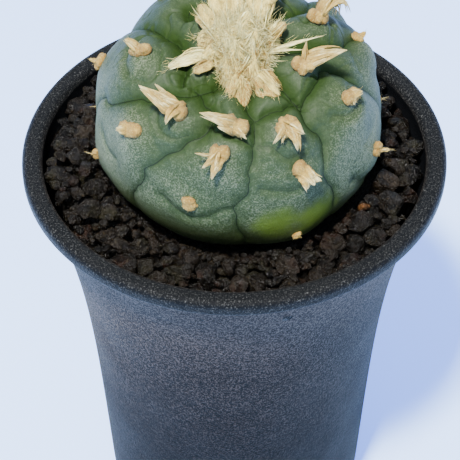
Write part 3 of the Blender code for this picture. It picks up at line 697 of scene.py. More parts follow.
skin_facts["side"] = np.abs(smooth[:, 0]) / PLANT_RADIUS
skin_facts["latitude"] = latitudes / 90

layers = {name: skin_bm.verts.layers.float.new(name) for name in skin_facts}
for index, vert in enumerate(skin_bm.verts):
    vert.co = Vector(skin_places[index] + PLANT_CENTRE)
    for name, layer in layers.items():
        vert[layer] = float(skin_facts[name][index])
print("stem:", len(skin_bm.verts), "vertices, relief", round(lift.min(), 2), "to", round(lift.max(), 2), "mm")

# %% [markdown]
# ### Finish of the skin
# The skin is green, but a thin bloom of wax makes it blue-grey and pale, most of all on the domes
# of the tubercles and low down, where nothing rubs it. Its extra pallor on the flanks, left and
# right, is painted sheen. The bloom is thin in the valleys, which show the green, and the valleys
# are painted darker as shade. Close to the soil the skin is painted dark as shade, and two sunlit
# patches low on the front have turned yellow-green. The creases are painted shade: dark lines a
# third of a millimetre wide in a soft darker band. The signed distance to the line is kept in an
# attribute, which stays sharp between vertices. Fine bumps, pale specks and short level wrinkles
# break the light on it.

# %% Waxy skin
skin = Finish("waxy_cactus_skin", 0.55)
place = skin.place()
crease = skin.maths("ABSOLUTE", skin.attribute("crease").outputs["Fac"])
crease_painted_shade = skin.attribute("crease_painted_shade").outputs["Fac"]
valley = skin.attribute("valley").outputs["Fac"]
side = skin.attribute("side").outputs["Fac"]
dome_share = skin.attribute("dome").outputs["Fac"]
blotch = skin.noise(place, 110.0, 4.0, 0.6)
mottle = skin.noise(place, 900.0, 4.0, 0.75)
speck = skin.noise(place, 3300.0, 2.0, 0.6)
wrinkles_at = skin.node("ShaderNodeMapping", Vector=place)
wrinkles_at.inputs["Scale"].default_value = (1.0, 1.0, 3.2)
wrinkles = skin.noise(wrinkles_at.outputs["Vector"], 420.0, 3.0, 0.6)

# The bloom is real wax; its extra pallor on the flanks, left and right, is painted sheen.
flank_bloom_and_painted_sheen = skin.ramp(side, 0.50, 1.02, 0.0, 0.36)
wax_bloom_and_painted_sheen = skin.maths("ADD", flank_bloom_and_painted_sheen, skin.ramp(dome_share, 0.2, 1.7, 0.0, 0.20))
wax_bloom_and_painted_sheen = skin.maths("ADD", wax_bloom_and_painted_sheen, skin.ramp(blotch, 0.30, 0.72, -0.08, 0.12))
wax_bloom_and_painted_sheen = skin.maths("ADD", wax_bloom_and_painted_sheen, skin.ramp(mottle, 0.35, 0.70, -0.06, 0.08))
wax_bloom_and_painted_sheen = skin.maths("ADD", wax_bloom_and_painted_sheen, skin.ramp(speck, 0.34, 0.66, -0.24, 0.34))
high = skin.attribute("latitude").outputs["Fac"]
wax_bloom_and_painted_sheen = skin.maths("ADD", wax_bloom_and_painted_sheen, skin.ramp(high, 0.40, 0.04, -0.10, 0.17))
wax_bloom_and_painted_sheen = skin.maths("SUBTRACT", wax_bloom_and_painted_sheen, skin.maths("MULTIPLY", valley, 0.55))
flesh_tint = skin.blend(skin.ramp(mottle, 0.3, 0.7), (0.018, 0.034, 0.0100), (0.031, 0.050, 0.0175))
tint = skin.blend(skin.ramp(wax_bloom_and_painted_sheen, 0.0, 0.95), flesh_tint, (0.146, 0.172, 0.108))
# Less bloom in the valleys shows the green; their darker tint is also painted shade.
tint = skin.blend(skin.ramp(valley, 0.30, 0.95, 0.0, 0.80), tint, (0.014, 0.031, 0.0042))
# Painted shade: the skin is tinted darker close to the soil.
painted_low_shade = skin.ramp(high, 0.01, -0.17, 0.0, 0.85)
tint = skin.blend(painted_low_shade, tint, (0.020, 0.029, 0.005))
YELLOW_GREEN = (0.066, 0.105, 0.008)
for patch_place, patch_size in ((body_point(14, -5), 5.8), (body_point(32, -7), 6.4)):
    patch = skin.node("ShaderNodeVectorMath", {"operation": "DISTANCE"})
    skin.link(place, patch.inputs[0])
    skin.link(tuple((patch_place + PLANT_CENTRE) * MM), patch.inputs[1])
    reach = skin.maths("ADD", patch.outputs["Value"], skin.ramp(blotch, 0.3, 0.7, 0.0014, -0.0014))
    in_patch = skin.ramp(reach, patch_size * MM, 0.25 * patch_size * MM, 0.0, 0.85)
    tint = skin.blend(in_patch, tint, YELLOW_GREEN)
# Painted shade: a soft darker band along each crease, and a thin dark line at its bottom.
painted_crease_band = skin.maths("MULTIPLY", skin.ramp(crease, 0.9, 0.15, 0.0, 0.50), crease_painted_shade)
tint = skin.blend(painted_crease_band, tint, (0.011, 0.026, 0.006))
line = skin.maths("MULTIPLY", skin.ramp(crease, 0.17, 0.05), crease_painted_shade)
tint = skin.blend(line, tint, (0.004, 0.009, 0.002))
skin.set("Base Color", tint)
skin.set("Roughness", skin.ramp(wax_bloom_and_painted_sheen, 0.0, 1.0, 0.54, 0.64))
skin.set("Specular IOR Level", skin.ramp(valley, 0.2, 0.8, 0.22, 0.05))
skin.set("Subsurface Weight", 0.08)
skin.set("Subsurface Radius", (0.6, 1.0, 0.4))
skin.set("Subsurface Scale", 0.0010)
rough_skin = skin.bump(mottle, 0.00020, 0.5)
rough_skin = skin.bump(wrinkles, 0.00016, 0.45, rough_skin)
skin.set("Normal", skin.bump(speck, 0.00013, 0.8, rough_skin))
finish_piece("cactus_stem", skin_bm, skin, ["cactus"])

# %% [markdown]
# ## Felt and wool
# A tuft is a pad of matted hairs with wisps that twist together into points. Cream hairs, golden
# tan at the pad and nearly white at the tips. One form makes them all: a small UV sphere drawn out
# along a bent line, thick for a pad, flat and tapering for a wisp, and three-sided for a single
# hair. Two attributes go with every vertex: its tone, from pad to tip, and its place across and
# along the strand, so that the finish can draw fibres that run with it.

# %% Strands
def tangent_frame(azimuth, latitude):
    """The skin's place and its outward, uphill and sideways directions."""
    here, uphill, sideways = (body_point(azimuth, latitude), body_point(azimuth, latitude + 1.5),
                              body_point(azimuth + 1.5, latitude))
    uphill = unit(uphill - here)
    out = unit(np.cross(sideways - here, uphill))
    lifted, _ = skin_relief(here[None, :], np.array([latitude]))
    return here + out * lifted[0] + PLANT_CENTRE, out, uphill, np.cross(uphill, out)


def many_of(mesh, count):
    """A bmesh holding the same shape many times, doubled until there are enough."""
    bm = bmesh.new()
    bm.from_mesh(mesh)
    verts, edges, faces = len(bm.verts), len(bm.edges), len(bm.faces)
    have = 1
    while have < count:
        more = min(have, count - have)
        geom = list(bm.verts)[:more * verts] + list(bm.edges)[:more * edges] + list(bm.faces)[:more * faces]
        bmesh.ops.duplicate(bm, geom=geom)
        have += more
    return bm


class Swarm:
    """Many copies of simple shapes, each bent into its own form, with attributes for the finish."""

    def __init__(self, seed):
        self.random = random.Random(seed)
        self.count = 0
        self.kinds = {}

    def shape(self, key, make):
        """The vertices of one such shape; the shape itself is made once and repeated at the end."""
        if key not in self.kinds:
            one = bmesh.new()
            make(one)
            mesh = bpy.data.meshes.new("one")
            one.to_mesh(mesh)
            one.free()
            ball = np.array([vert.co for vert in mesh.vertices])
            self.kinds[key] = {"mesh": mesh, "ball": ball, "copies": []}
        return self.kinds[key]

    def build(self):
        """All copies in one bmesh."""
        whole = bmesh.new()
        for kind in self.kinds.values():
            part = many_of(kind["mesh"], len(kind["copies"]))
            mesh = bpy.data.meshes.new("part")
            part.to_mesh(mesh)
            part.free()
            places, tones, fibres = (np.concatenate(rows) for rows in zip(*kind["copies"]))
            mesh.vertices.foreach_set("co", places.astype(np.float32).ravel())
            mesh.attributes.new("tone", "FLOAT", "POINT").data.foreach_set("value", tones.astype(np.float32))
            fibre = mesh.attributes.new("fibre", "FLOAT_VECTOR", "POINT")
            fibre.data.foreach_set("vector", fibres.astype(np.float32).ravel())
            whole.from_mesh(mesh)
            bpy.data.meshes.remove(mesh)
        return whole


class Tuft(Swarm):
    """Strands of felt or wool."""

    def strand(self, start, middle, end, width, thickness, flat_way, tones=(0.0, 1.0), sides=8, rings=9,
               belly=0.35, tip=0.06, ragged=0.0, taper=1.1):
        """A round or flat strand along a bent line; belly is where it is widest."""
        self.count += 1
        kind = self.shape(("strand", sides, rings), lambda bm: bmesh.ops.create_uvsphere(
            bm, u_segments=sides, v_segments=rings, radius=1))
        ball = kind["ball"]
        share = (1 + ball[:, 2]) / 2
        late = share[:, None]
        spine = (1 - late) ** 2 * start + 2 * late * (1 - late) * middle + late ** 2 * end
        slope = rows_unit(2 * (1 - late) * (middle - start) + 2 * late * (end - middle))
        across = rows_unit(np.cross(flat_way, slope))
        over = np.cross(slope, across)
        swell = 1 - (1 - tip) * np.clip((share - belly) / (1 - belly), 0, 1) ** taper
        swell *= 1 - 0.35 * np.clip((belly - share) / belly, 0, 1) ** 2
        ring = np.hypot(ball[:, 0], ball[:, 1])
        turned = ball[:, :2] / np.maximum(ring, 1e-6)[:, None]
        girth = swell * np.minimum(1.0, ring * 1.6)
        if ragged:
            lumps = [noise.noise(Vector((x * 2.2, y * 2.2, self.count * 3.7 + along * 4)))
                     for (x, y), along in zip(turned, share)]
            girth *= 1 + ragged * np.array(lumps)
        wide = 0.5 * width * girth * turned[:, 0]
        deep = 0.5 * thickness * girth * turned[:, 1]
        places = spine + across * wide[:, None] + over * deep[:, None]
        length = float(np.linalg.norm(end - start))
        fibre = np.stack([0.5 * width * ball[:, 0], 0.5 * thickness * ball[:, 1],
                          share * length * 0.12 + self.count], axis=1)
        kind["copies"].append((places, tones[0] + (tones[1] - tones[0]) * share, fibre))

    def hair(self, start, way, length, curl, thickness=0.07, tones=(0.6, 1.0)):
        """One loose hair: thin, three-sided, and bent a little at random."""
        draw = self.random
        bend = np.array([draw.uniform(-1, 1), draw.uniform(-1, 1), draw.uniform(-1, 1)]) * curl * length
        middle = start + way * length * 0.5 + bend
        end = start + way * length + bend * draw.uniform(-0.4, 1.2)
        self.strand(start, middle, end, thickness, thickness, np.array([0.3, 0.2, 1.0]), tones,
                    sides=3, rings=5, belly=0.3, tip=0.3)


# %% [markdown]
# ### Finish of felt and wool
# The fibre attribute draws fine streaks along each strand. Their contrast is what makes a smooth
# wisp read as matted hair. The pad is tan, the wisp cream, and light passes a little way in.

# %% Felted hair
def hair_finish(name, pad_tint, mid_tint, tip_tint, streak_dark=0.55):
    """Matted hair, tinted from the pad to the tip, with streaks that follow each strand."""
    felt = Finish(name, 0.85)
    fibre = felt.attribute("fibre").outputs["Vector"]
    tone = felt.attribute("tone").outputs["Fac"]
    streak = felt.noise(fibre, 4.5, 3.0, 0.7)
    fuzz = felt.noise(felt.place(), 2600.0, 3.0, 0.7)
    cloud = felt.noise(felt.place(), 420.0, 2.0, 0.5)
    tone = felt.maths("ADD", tone, felt.ramp(cloud, 0.3, 0.7, -0.18, 0.18))
    base = felt.blend(felt.ramp(tone, 0.0, 0.45), pad_tint, mid_tint)
    base = felt.blend(felt.ramp(tone, 0.45, 1.0), base, tip_tint)
    streak_tint = tuple(streak_dark * value for value in mid_tint)
    base = felt.blend(felt.ramp(streak, 0.38, 0.60, 0.0, 0.75), base, streak_tint)
    base = felt.blend(felt.ramp(fuzz, 0.50, 0.70, 0.0, 0.25), base, tip_tint)
    felt.set("Base Color", base)
    felt.set("Sheen Weight", 0.07)
    felt.set("Sheen Roughness", 0.5)
    felt.set("Subsurface Weight", 0.12)
    felt.set("Subsurface Radius", (1.0, 0.7, 0.3))
    felt.set("Subsurface Scale", 0.0008)
    felt.set("Specular IOR Level", 0.15)
    soft = felt.bump(fuzz, 0.00020, 0.7)
    felt.set("Normal", felt.bump(streak, 0.00040, 1.0, soft))
    return felt


felt = hair_finish("felted_tuft_hair", (0.24, 0.120, 0.020), (0.54, 0.350, 0.080), (0.90, 0.76, 0.36))
wool = hair_finish("crown_wool_hair", (0.24, 0.120, 0.022), (0.80, 0.62, 0.17), (1.0, 0.95, 0.44), 0.58)

# %% [markdown]
# ### The tufts
# A pad is three overlapping lumps on the areole, sunk a little so that it grows out of the skin. The
# wisps leave the pad, rise and bend over to their tips. Thinner strands run along each wisp, and
# some hairs have come loose from it and from the pad. Two factors, the same for all tufts, make the
# wisps a little shorter and broader than the list of areoles says.

# %% Model the tufts
WISP_REACH = 0.86
WISP_SPREAD = 1.15


def make_tuft(index, azimuth, latitude, pad_width, pad_length, pad_height, wisps):
    """One areole's pad, its wisps and their loose hairs."""
    tuft = Tuft(100 + index)
    base, out, uphill, _ = tangent_frame(azimuth, latitude)
    draw = tuft.random
    lean = unit(np.array(wisps[0][:3])) if wisps else uphill
    lean = unit(lean - out * float(lean @ out))
    across = np.cross(out, lean)
    for lump in range(3):
        shift = lean * (lump - 1) * 0.24 * pad_length + across * draw.uniform(-0.12, 0.12) * pad_width
        foot = base + shift - out * 0.45
        top = base + shift * 1.1 + out * pad_height * draw.uniform(0.8, 1.1)
        tuft.strand(foot, (foot + top) / 2, top, pad_length * 0.74, pad_width * draw.uniform(1.0, 1.2),
                    across, (-0.15, 0.26), sides=12, rings=8, belly=0.45, tip=0.62, ragged=0.5)
    for dx, dy, dz, width, arch in wisps:
        dx, dy, dz, width = WISP_REACH * dx, WISP_REACH * dy, WISP_REACH * dz, WISP_SPREAD * width
        tip = base + out * pad_height * 0.6 + np.array([dx, dy, dz])
        start = base + out * 0.35 * pad_height + across * draw.uniform(-0.2, 0.2) * pad_width
        middle = start + 0.45 * np.array([dx, dy, dz]) + out * (0.5 + arch)
        tuft.strand(start, middle, tip, 0.9 * width, 0.30 * width, out, (0.10, 0.9), sides=10, rings=16,
                    belly=0.30, tip=0.10, ragged=0.5)
        for _ in range(16 if width > 1.3 else 4):
            aside = across * draw.uniform(-0.46, 0.46) * width + out * draw.uniform(-0.05, 0.24) * width
            reached = start + (tip - start) * draw.uniform(0.55, 1.0) + draw.uniform(0.0, 0.7) * aside
            fair = draw.uniform(0.0, 0.75)
            bend = middle + draw.uniform(0.5, 1.1) * aside
            tuft.strand(start + aside, bend, reached, draw.uniform(0.16, 0.26) * width, 0.14 * width, out,
                        (fair, fair + 0.45), sides=5, rings=9)
        for _ in range(5):
            share = draw.uniform(0.1, 0.7)
            on_wisp = (1 - share) ** 2 * start + 2 * share * (1 - share) * middle + share ** 2 * tip
            way = unit(np.array([dx, dy, dz]) / 3 + out * draw.uniform(0.0, 0.6)
                       + across * draw.uniform(-0.8, 0.8))
            tuft.hair(on_wisp, way, draw.uniform(0.8, 2.0), 0.25)
    for _ in range(14 if wisps else 8):
        spread = draw.uniform(0, math.tau)
        way = unit(out * draw.uniform(0.3, 1.0) + across * math.cos(spread) + lean * math.sin(spread))
        foot = base + out * 0.3 * pad_height + way * 0.3 * pad_width
        tuft.hair(foot, way, draw.uniform(0.4, 1.1), 0.3, 0.06, (0.3, 0.9))
    finish_piece(f"felt_tuft_{index:02d}", tuft.build(), felt, [f"tuft_{index:02d}"])


for index, areole in enumerate(AREOLES, start=1):
    make_tuft(index, *areole)

# %% [markdown]
# ### The crown
# Over the growing point the young tufts stand so close that their hair forms one mass. It is made
# as a low, lumpy cushion buried under some thousands of strands and hairs, with lobes of matted wool
# round it: two golden ones that hang over the front, a curved horn to the left, thin white spikes
# and a stiff tan flap to the right, and tall lobes at the back. Each lobe is one or two broad blades
# with thinner strands laid along them and many short hairs.

# %% Model the lobes
CROWN = (2, 77)
# (azimuth, latitude, [(tip dx, dy, dz, width, arch, tone at the root, tone at the end, bluntness), ...])
LOBES = [
    (1, 57, [(0.4, -3.4, -2.2, 3.8, 0.6, 0.0, -0.2, 0.8), (-2.6, -2.8, -1.2, 3.0, 1.2, 0.4, 0.0, 0.6)]),
    (24, 57, [(1.6, -3.8, -2.4, 4.6, 0.6, 0.0, -0.2, 0.85), (2.2, -2.8, -1.0, 2.6, 1.2, 0.5, 0.3, 0.4)]),
    (-52, 68, [(-9.8, -3.0, -1.8, 3.4, 4.6, 0.6, 1.0, 0.04)]),
    (-38, 60, [(-0.8, -1.0, -0.6, 2.6, 0.8, 0.2, 0.1, 0.6)]),
    (-106, 74, [(-2.0, 0.0, 1.4, 3.0, 1.2, 0.3, 0.1, 0.5), (-1.2, 1.6, 3.2, 3.6, 1.2, 0.4, 0.2, 0.5)]),
    (84, 72, [(2.0, 0.8, 3.2, 3.4, 0.5, 0.2, 0.1, 0.7), (1.0, 1.2, 4.0, 2.0, 0.8, 0.5, 0.9, 0.1)]),
    (56, 66, [(8.6, 0.2, 4.0, 1.1, 0.5, 0.9, 1.0, 0.03), (5.2, -1.8, 2.0, 0.9, 0.8, 0.9, 1.0, 0.03)]),
    (-165, 68, [(-1.6, 2.4, 5.6, 6.2, 1.2, 0.5, 0.45, 0.7), (1.6, 3.0, 5.0, 5.0, 1.2, 0.5, 0.6, 0.5)]),
    (150, 66, [(1.2, 2.8, 5.6, 6.0, 1.2, 0.45, 0.5, 0.7), (3.4, 2.2, 3.6, 3.6, 1.2, 0.5, 0.6, 0.3)]),
]


def make_lobe(index, azimuth, latitude, blades):
    """One lobe of the crown: its blades, the strands along them and the loose hairs."""
    lobe = Tuft(300 + index)
    base, out, *_ = tangent_frame(azimuth, latitude)
    draw = lobe.random
    centre = tangent_frame(*CROWN)[0]
    for dx, dy, dz, width, arch, root_tone, end_tone, blunt in blades:
        reach = np.array([dx, dy, dz])
        start = base + 0.35 * (centre - base) + out * 1.6
        tip = base + out * 1.4 + reach
        middle = start + 0.5 * reach + out * arch
        across = unit(np.cross(out, reach))
        lobe.strand(start, middle, tip, 0.85 * width, 0.42 * width, out, (root_tone, end_tone), sides=14,
                    rings=18, belly=0.5, tip=blunt, ragged=0.75, taper=1.6 if blunt > 0.2 else 0.8)
        for _ in range(12 if width > 1.5 else 3):
            aside = across * draw.uniform(-0.5, 0.5) * width + out * draw.uniform(-0.05, 0.28) * width
            wander = np.array([draw.uniform(-0.5, 0.5) for _ in range(3)])
            fair = draw.uniform(-0.2, 0.3)
            laid_tip = tip + aside * (0.2 + blunt) - reach * draw.uniform(0.2, 0.7)
            laid_tones = (root_tone + fair, 0.5 * (end_tone + root_tone) + fair)
            lobe.strand(start + aside, middle + aside + wander, laid_tip, draw.uniform(0.2, 0.5), 0.24, out,
                        laid_tones, sides=5, rings=9, belly=0.4, tip=0.1, taper=0.9)
        for _ in range(int(18 * width)):
            share = draw.uniform(0.05, 0.9)
            on_blade = (1 - share) ** 2 * start + 2 * share * (1 - share) * middle + share ** 2 * tip
            way = unit(unit(reach) + np.array([draw.uniform(-0.6, 0.6) for _ in range(3)]) + 0.2 * out)
            lobe.hair(on_blade + across * draw.uniform(-0.4, 0.4) * width + out * 0.2 * width, way,
                      draw.uniform(0.8, 2.2), 0.35, 0.07, (0.4, 1.0))
    finish_piece(f"wool_lock_{index}", lobe.build(), wool, [f"wool_lobe_{index}"])


for index, (azimuth, latitude, blades) in enumerate(LOBES, start=1):
    make_lobe(index, azimuth, latitude, blades)

# %% [markdown]
# The cushion itself is a sphere pressed into a low, star-shaped mound: its reach grows towards the
# lobes, fine ridges run outwards as combed wool does, and its edge follows the skin down. Combed
# locks and then loose hairs are laid over it, each from nearer the middle to further out, so that
# they cover one another like shingles. A tuft of strands and hairs stands up in the middle, and a
# fringe hangs over the edge.

# %% Model the cushion, its locks and its hairs
CUSHION_HEIGHT = 7.2
CUSHION_REACH = 5.6
LOCK_COUNT = 1500
LOOSE_HAIR_COUNT = 2200
STANDING_STRAND_COUNT = 130
STANDING_HAIR_COUNT = 900
FRINGE_COUNT = 150
# (direction in degrees from the right, counted towards the back; extra reach; width in degrees)
ARMS = [(-104, 2.8, 20), (-66, 3.4, 17), (-20, 1.6, 15), (30, 3.0, 17), (90, 7.6, 52), (150, 3.2, 18),
        (184, 2.2, 14)]
NARROW_ARM = 30
crown = Tuft(400)
base, out, uphill, sideways = tangent_frame(*CROWN)
base = base + out * 0.6
draw = crown.random


def degrees_from(around, direction):
    """The turn from a direction in degrees to an angle in radians, between -180 and 180 degrees."""
    return (math.degrees(around) - direction + 180) % 360 - 180


def cushion_place(around, share, lift=0.0):
    """A place on the cushion: around in radians from the right, share of the way to its edge."""
    reach = CUSHION_REACH
    for direction, extra, width in ARMS:
        reach += extra * math.exp(-(degrees_from(around, direction) / width) ** 2)
    radius = reach * share
    lumps = noise.noise(Vector((3.0 * math.cos(around) * share, 3.0 * math.sin(around) * share, 4.0)))
    ridges = noise.noise(Vector((5.0 * math.cos(around), 5.0 * math.sin(around), 1.1 * share)))
    dome = CUSHION_HEIGHT * max(0.0, 1 - share ** 2.2) ** 0.75
    height = dome * (1 + 0.65 * lumps + 0.25 * share * math.sin(around))
    height += 1.5 * ridges * share * (1.2 - share)
    drop = radius ** 2 / 58
    way = sideways * math.cos(around) + uphill * math.sin(around)
    return base + way * radius + out * (height - drop + lift)


def on_arm(around):
    """How near a direction is to the middle of one of the narrow arms."""
    aways = [degrees_from(around, direction) / width for direction, _, width in ARMS if width < NARROW_ARM]
    return max(math.exp(-away * away) for away in aways)


mound = crown.shape("mound", lambda bm: bmesh.ops.create_uvsphere(bm, u_segments=96, v_segments=36, radius=1))
arounds = np.arctan2(mound["ball"][:, 1], mound["ball"][:, 0])
shares = np.minimum(1.0, np.hypot(mound["ball"][:, 0], mound["ball"][:, 1]))
mound_places = []
for around, share, high in zip(arounds, shares, mound["ball"][:, 2]):
    if high >= -0.05:
        mound_places.append(cushion_place(around, share))
    else:
        depth = CUSHION_HEIGHT * (1 - share ** 2.2) ** 0.75 + 0.8
        mound_places.append(cushion_place(around, 0.96 * share) - out * depth)
combed = np.stack([5 * np.cos(arounds), 5 * np.sin(arounds), 0.9 * shares], axis=1)
mound["copies"].append((np.array(mound_places), 0.75 - 0.45 * shares, combed))
for _ in range(LOCK_COUNT):
    around = draw.uniform(0, math.tau)
    inner = draw.uniform(0.02, 0.80)
    outer = min(1.12, inner + draw.uniform(0.2, 0.5))
    turn = around + draw.gauss(0, 0.42 + 0.5 * (1 - inner))
    start = cushion_place(around, inner, -0.15)
    tip = cushion_place(turn, outer, 0.12)
    halfway = (around + turn) / 2 + draw.gauss(0, 0.16)
    middle = cushion_place(halfway, (inner + outer) / 2, draw.uniform(0.3, 1.3))
    fair = draw.uniform(0.10, 0.95) - 0.7 * max(0.0, inner - 0.45) - 0.8 * on_arm(around) * (inner > 0.42)
    crown.strand(start, middle, tip, draw.uniform(0.14, 0.46), draw.uniform(0.12, 0.26), out,
                 (fair, 0.3 + 0.7 * fair), sides=4, rings=7, belly=0.4, tip=0.05, taper=0.9)
for _ in range(LOOSE_HAIR_COUNT):
    around = draw.uniform(0, math.tau)
    inner = math.sqrt(draw.uniform(0, 1.1))
    foot = cushion_place(around, inner, -0.1)
    ahead = cushion_place(around + draw.gauss(0, 0.9), inner + 0.2, 0.25)
    lean = unit(unit(ahead - foot) + np.array([draw.uniform(-1.1, 1.1) for _ in range(3)]) + 0.4 * out)
    crown.hair(foot, lean, draw.uniform(1.2, 3.6), 0.22, draw.uniform(0.05, 0.09), (0.7, 1.0))
for _ in range(STANDING_STRAND_COUNT):
    aside = sideways * draw.gauss(0, 2.0) + uphill * draw.gauss(1.5, 2.2)
    start = base + aside + out * 3.0
    tip = base + 1.5 * aside + out * draw.uniform(7.0, 10.5) + sideways * draw.gauss(0, 1.4)
    tip += uphill * draw.gauss(1, 1.4)
    middle = (start + tip) / 2 + sideways * draw.gauss(0, 0.9) + uphill * draw.gauss(0, 0.9)
    fair = draw.uniform(0.3, 0.9)
    crown.strand(start, middle, tip, draw.uniform(0.15, 0.5), draw.uniform(0.12, 0.26), out, (fair, 1.0),
                 sides=4, rings=7, belly=0.4, tip=0.04, taper=0.9)
for _ in range(STANDING_HAIR_COUNT):
    aside = sideways * draw.gauss(0, 2.6) + uphill * draw.gauss(1.5, 3.0)
    lean = unit(out * draw.uniform(0.5, 1.4) + sideways * draw.gauss(0, 0.5) + uphill * draw.gauss(0.2, 0.5))
    crown.hair(base + aside + out * draw.uniform(3.0, 7.0), lean, draw.uniform(1.6, 4.2), 0.25,
               draw.uniform(0.05, 0.09), (0.8, 1.0))
for _ in range(FRINGE_COUNT):
    around = math.radians(draw.choice((draw.gauss(-105, 16), draw.gauss(-20, 14), draw.uniform(0, 360))))
    foot = cushion_place(around, draw.uniform(0.8, 0.98))
    way = sideways * math.cos(around) + uphill * math.sin(around) + out * draw.uniform(-0.5, 0.3)
    crown.hair(foot, unit(way), draw.uniform(1.6, 3.8), 0.22, 0.07, (0.8, 1.0))
finish_piece("crown_fleece", crown.build(), wool, ["crown_wool"])

# %% [markdown]
# ## The potting mix
# The mix is wet, dark volcanic grit. Under the loose top it is one bed that fills the pot, spun
# from an outline like the pot itself, hollow under the plant and raised into a bank against the wall
# at the sides and the back. The top is made of single granules, dropped one by one: each tries
# several places, takes the one where it comes to lie lowest, and raises the heap there. That packs
# them as real grit packs, the small ones in the gaps between the large.

# %% The bed
MIX_BELOW_RIM = 12.8
MIX_MOUND = 3.5
BED_SUNK = 0.6
CLEARANCE = 0.3
BANK = 7.8
HOLLOW_UNDER_PLANT = 8
BED_STEPS = 96
mix_edge = rim_height - MIX_BELOW_RIM
mix_radius = wall_radius(mix_edge) - POT_WALL - CLEARANCE


def mix_height(radius):
    """The height of the mix before it is banked: a low mound that falls off near the wall."""
    share = min(1.0, max(0.0, (radius - 0.55 * mix_radius) / (0.45 * mix_radius)))
    return mix_edge + MIX_MOUND * (1 - share ** 1.5)


def banked(x, y):
    """How much higher the mix lies at a place, because it is banked up at the sides and the back."""
    from_front = math.degrees(math.atan2(abs(x), -y))
    turned = min(1.0, max(0.0, (from_front - 20) / 55))
    outwards = min(1.0, max(0.0, (math.hypot(x, y) / mix_radius - 0.46) / 0.36))
    return BANK * outwards * (0.2 + 0.8 * turned * turned * (3 - 2 * turned))


chamfer = FOOT_CHAMFER * (1 - FLOOR_TOP / LEDGE_HEIGHT)
inner_foot = FOOT_RADIUS - LEDGE_STEP - POT_WALL - CLEARANCE
bed_points = [(0, mix_height(0) - BED_SUNK - HOLLOW_UNDER_PLANT)]
bed_points += [(mix_radius * share, mix_height(mix_radius * share) - BED_SUNK) for share in
               (0.40, 0.5, 0.58, 0.66, 0.74, 0.82, 0.9, 0.96)]
bed_points += [(wall_radius(height) - POT_WALL - CLEARANCE, height) for height in
               [mix_edge - 2 - (mix_edge - LEDGE_HEIGHT - 4) * (i / 14) for i in range(15)]]
bed_points += [(inner_foot, LEDGE_HEIGHT), (inner_foot - chamfer, FLOOR_TOP + CLEARANCE)]
bed_points += [(0, FLOOR_TOP + CLEARANCE)]
bed_bm = bmesh.new()
spin_outline(bed_bm, bed_points, False, BED_STEPS)
for vert in bed_bm.verts:
    if vert.co.z > mix_edge - 12:
        lump = noise.noise(vert.co / 2.6)
        vert.co.z += 0.5 * lump
    if vert.co.z > mix_edge - 1.5:
        vert.co.z += banked(vert.co.x, vert.co.y) - 0.6
print("bed edge", round(mix_edge, 1), "mm high, radius", round(mix_radius, 1))

# %% [markdown]
# ### Finish of the grit
# The granules are near black when wet, with brown, rust and olive among them and a rare amber crumb.
# Each granule carries its own tone in an attribute, and a slow noise shifts the hue from place to
# place. Water fills the pores and leaves a broken gloss, so the roughness varies from point to
# point, with a coarse bump under a fine one. Pale specks are painted where the fine bump rises, as
# painted glints, and the hollows of the coarse bump are painted near black as shade.

# %% Wet grit
def grit_finish(name):
    """Wet volcanic grit."""
    grit = Finish(name, 0.4)
    place = grit.place()
    tone = grit.attribute("tone").outputs["Fac"]
    pores = grit.noise(place, 1700.0, 3.0, 0.75)
    lumps = grit.noise(place, 560.0, 3.0, 0.6)
    base = grit.blend(grit.ramp(tone, 0.0, 0.6), (0.0020, 0.0013, 0.0005), (0.0060, 0.0036, 0.0014))
    base = grit.blend(grit.ramp(tone, 0.6, 0.9), base, (0.0130, 0.0080, 0.0036))
    hue = grit.noise(place, 190.0, 2.0, 0.5)
    base = grit.blend(grit.ramp(hue, 0.54, 0.70, 0.0, 0.75), base, (0.0100, 0.0088, 0.0026))
    base = grit.blend(grit.ramp(hue, 0.44, 0.30, 0.0, 0.75), base, (0.0140, 0.0050, 0.0018))
    base = grit.blend(grit.ramp(tone, 0.93, 0.99), base, (0.13, 0.050, 0.010))
    # Painted highlight: pale specks where the fine bump rises stand for glints.
    base = grit.blend(grit.ramp(pores, 0.56, 0.70, 0.0, 0.75), base, (0.042, 0.030, 0.014))
    # Painted shade: the hollows of the coarse bump are tinted near black.
    base = grit.blend(grit.ramp(lumps, 0.52, 0.34, 0.0, 0.85), base, (0.0012, 0.0009, 0.0006))
    grit.set("Base Color", base)
    grit.set("Roughness", grit.ramp(lumps, 0.3, 0.7, 0.14, 0.42))
    grit.set("Specular IOR Level", 0.27)
    grit.set("Normal", grit.bump(pores, 0.0008, 1.0, grit.bump(lumps, 0.0014, 1.0)))
    return grit


BED_TONE = 0.05
grit = grit_finish("wet_dark_grit")
bed_tone = bed_bm.verts.layers.float.new("tone")
for vert in bed_bm.verts:
    vert[bed_tone] = BED_TONE
finish_piece("mix_bed", bed_bm, grit, ["potting_mix"])

# %% Drop the granules
GRANULE_COUNT = 760
CELL = 0.35
draw = random.Random(77)
reach_cells = int(mix_radius / CELL) + 6
grid_axis = (np.arange(-reach_cells, reach_cells + 1)) * CELL
grid_x, grid_y = np.meshgrid(grid_axis, grid_axis, indexing="ij")
heap = np.vectorize(mix_height)(np.hypot(grid_x, grid_y)) + np.vectorize(banked)(grid_x, grid_y)
heap = heap - BED_SUNK + 0.2


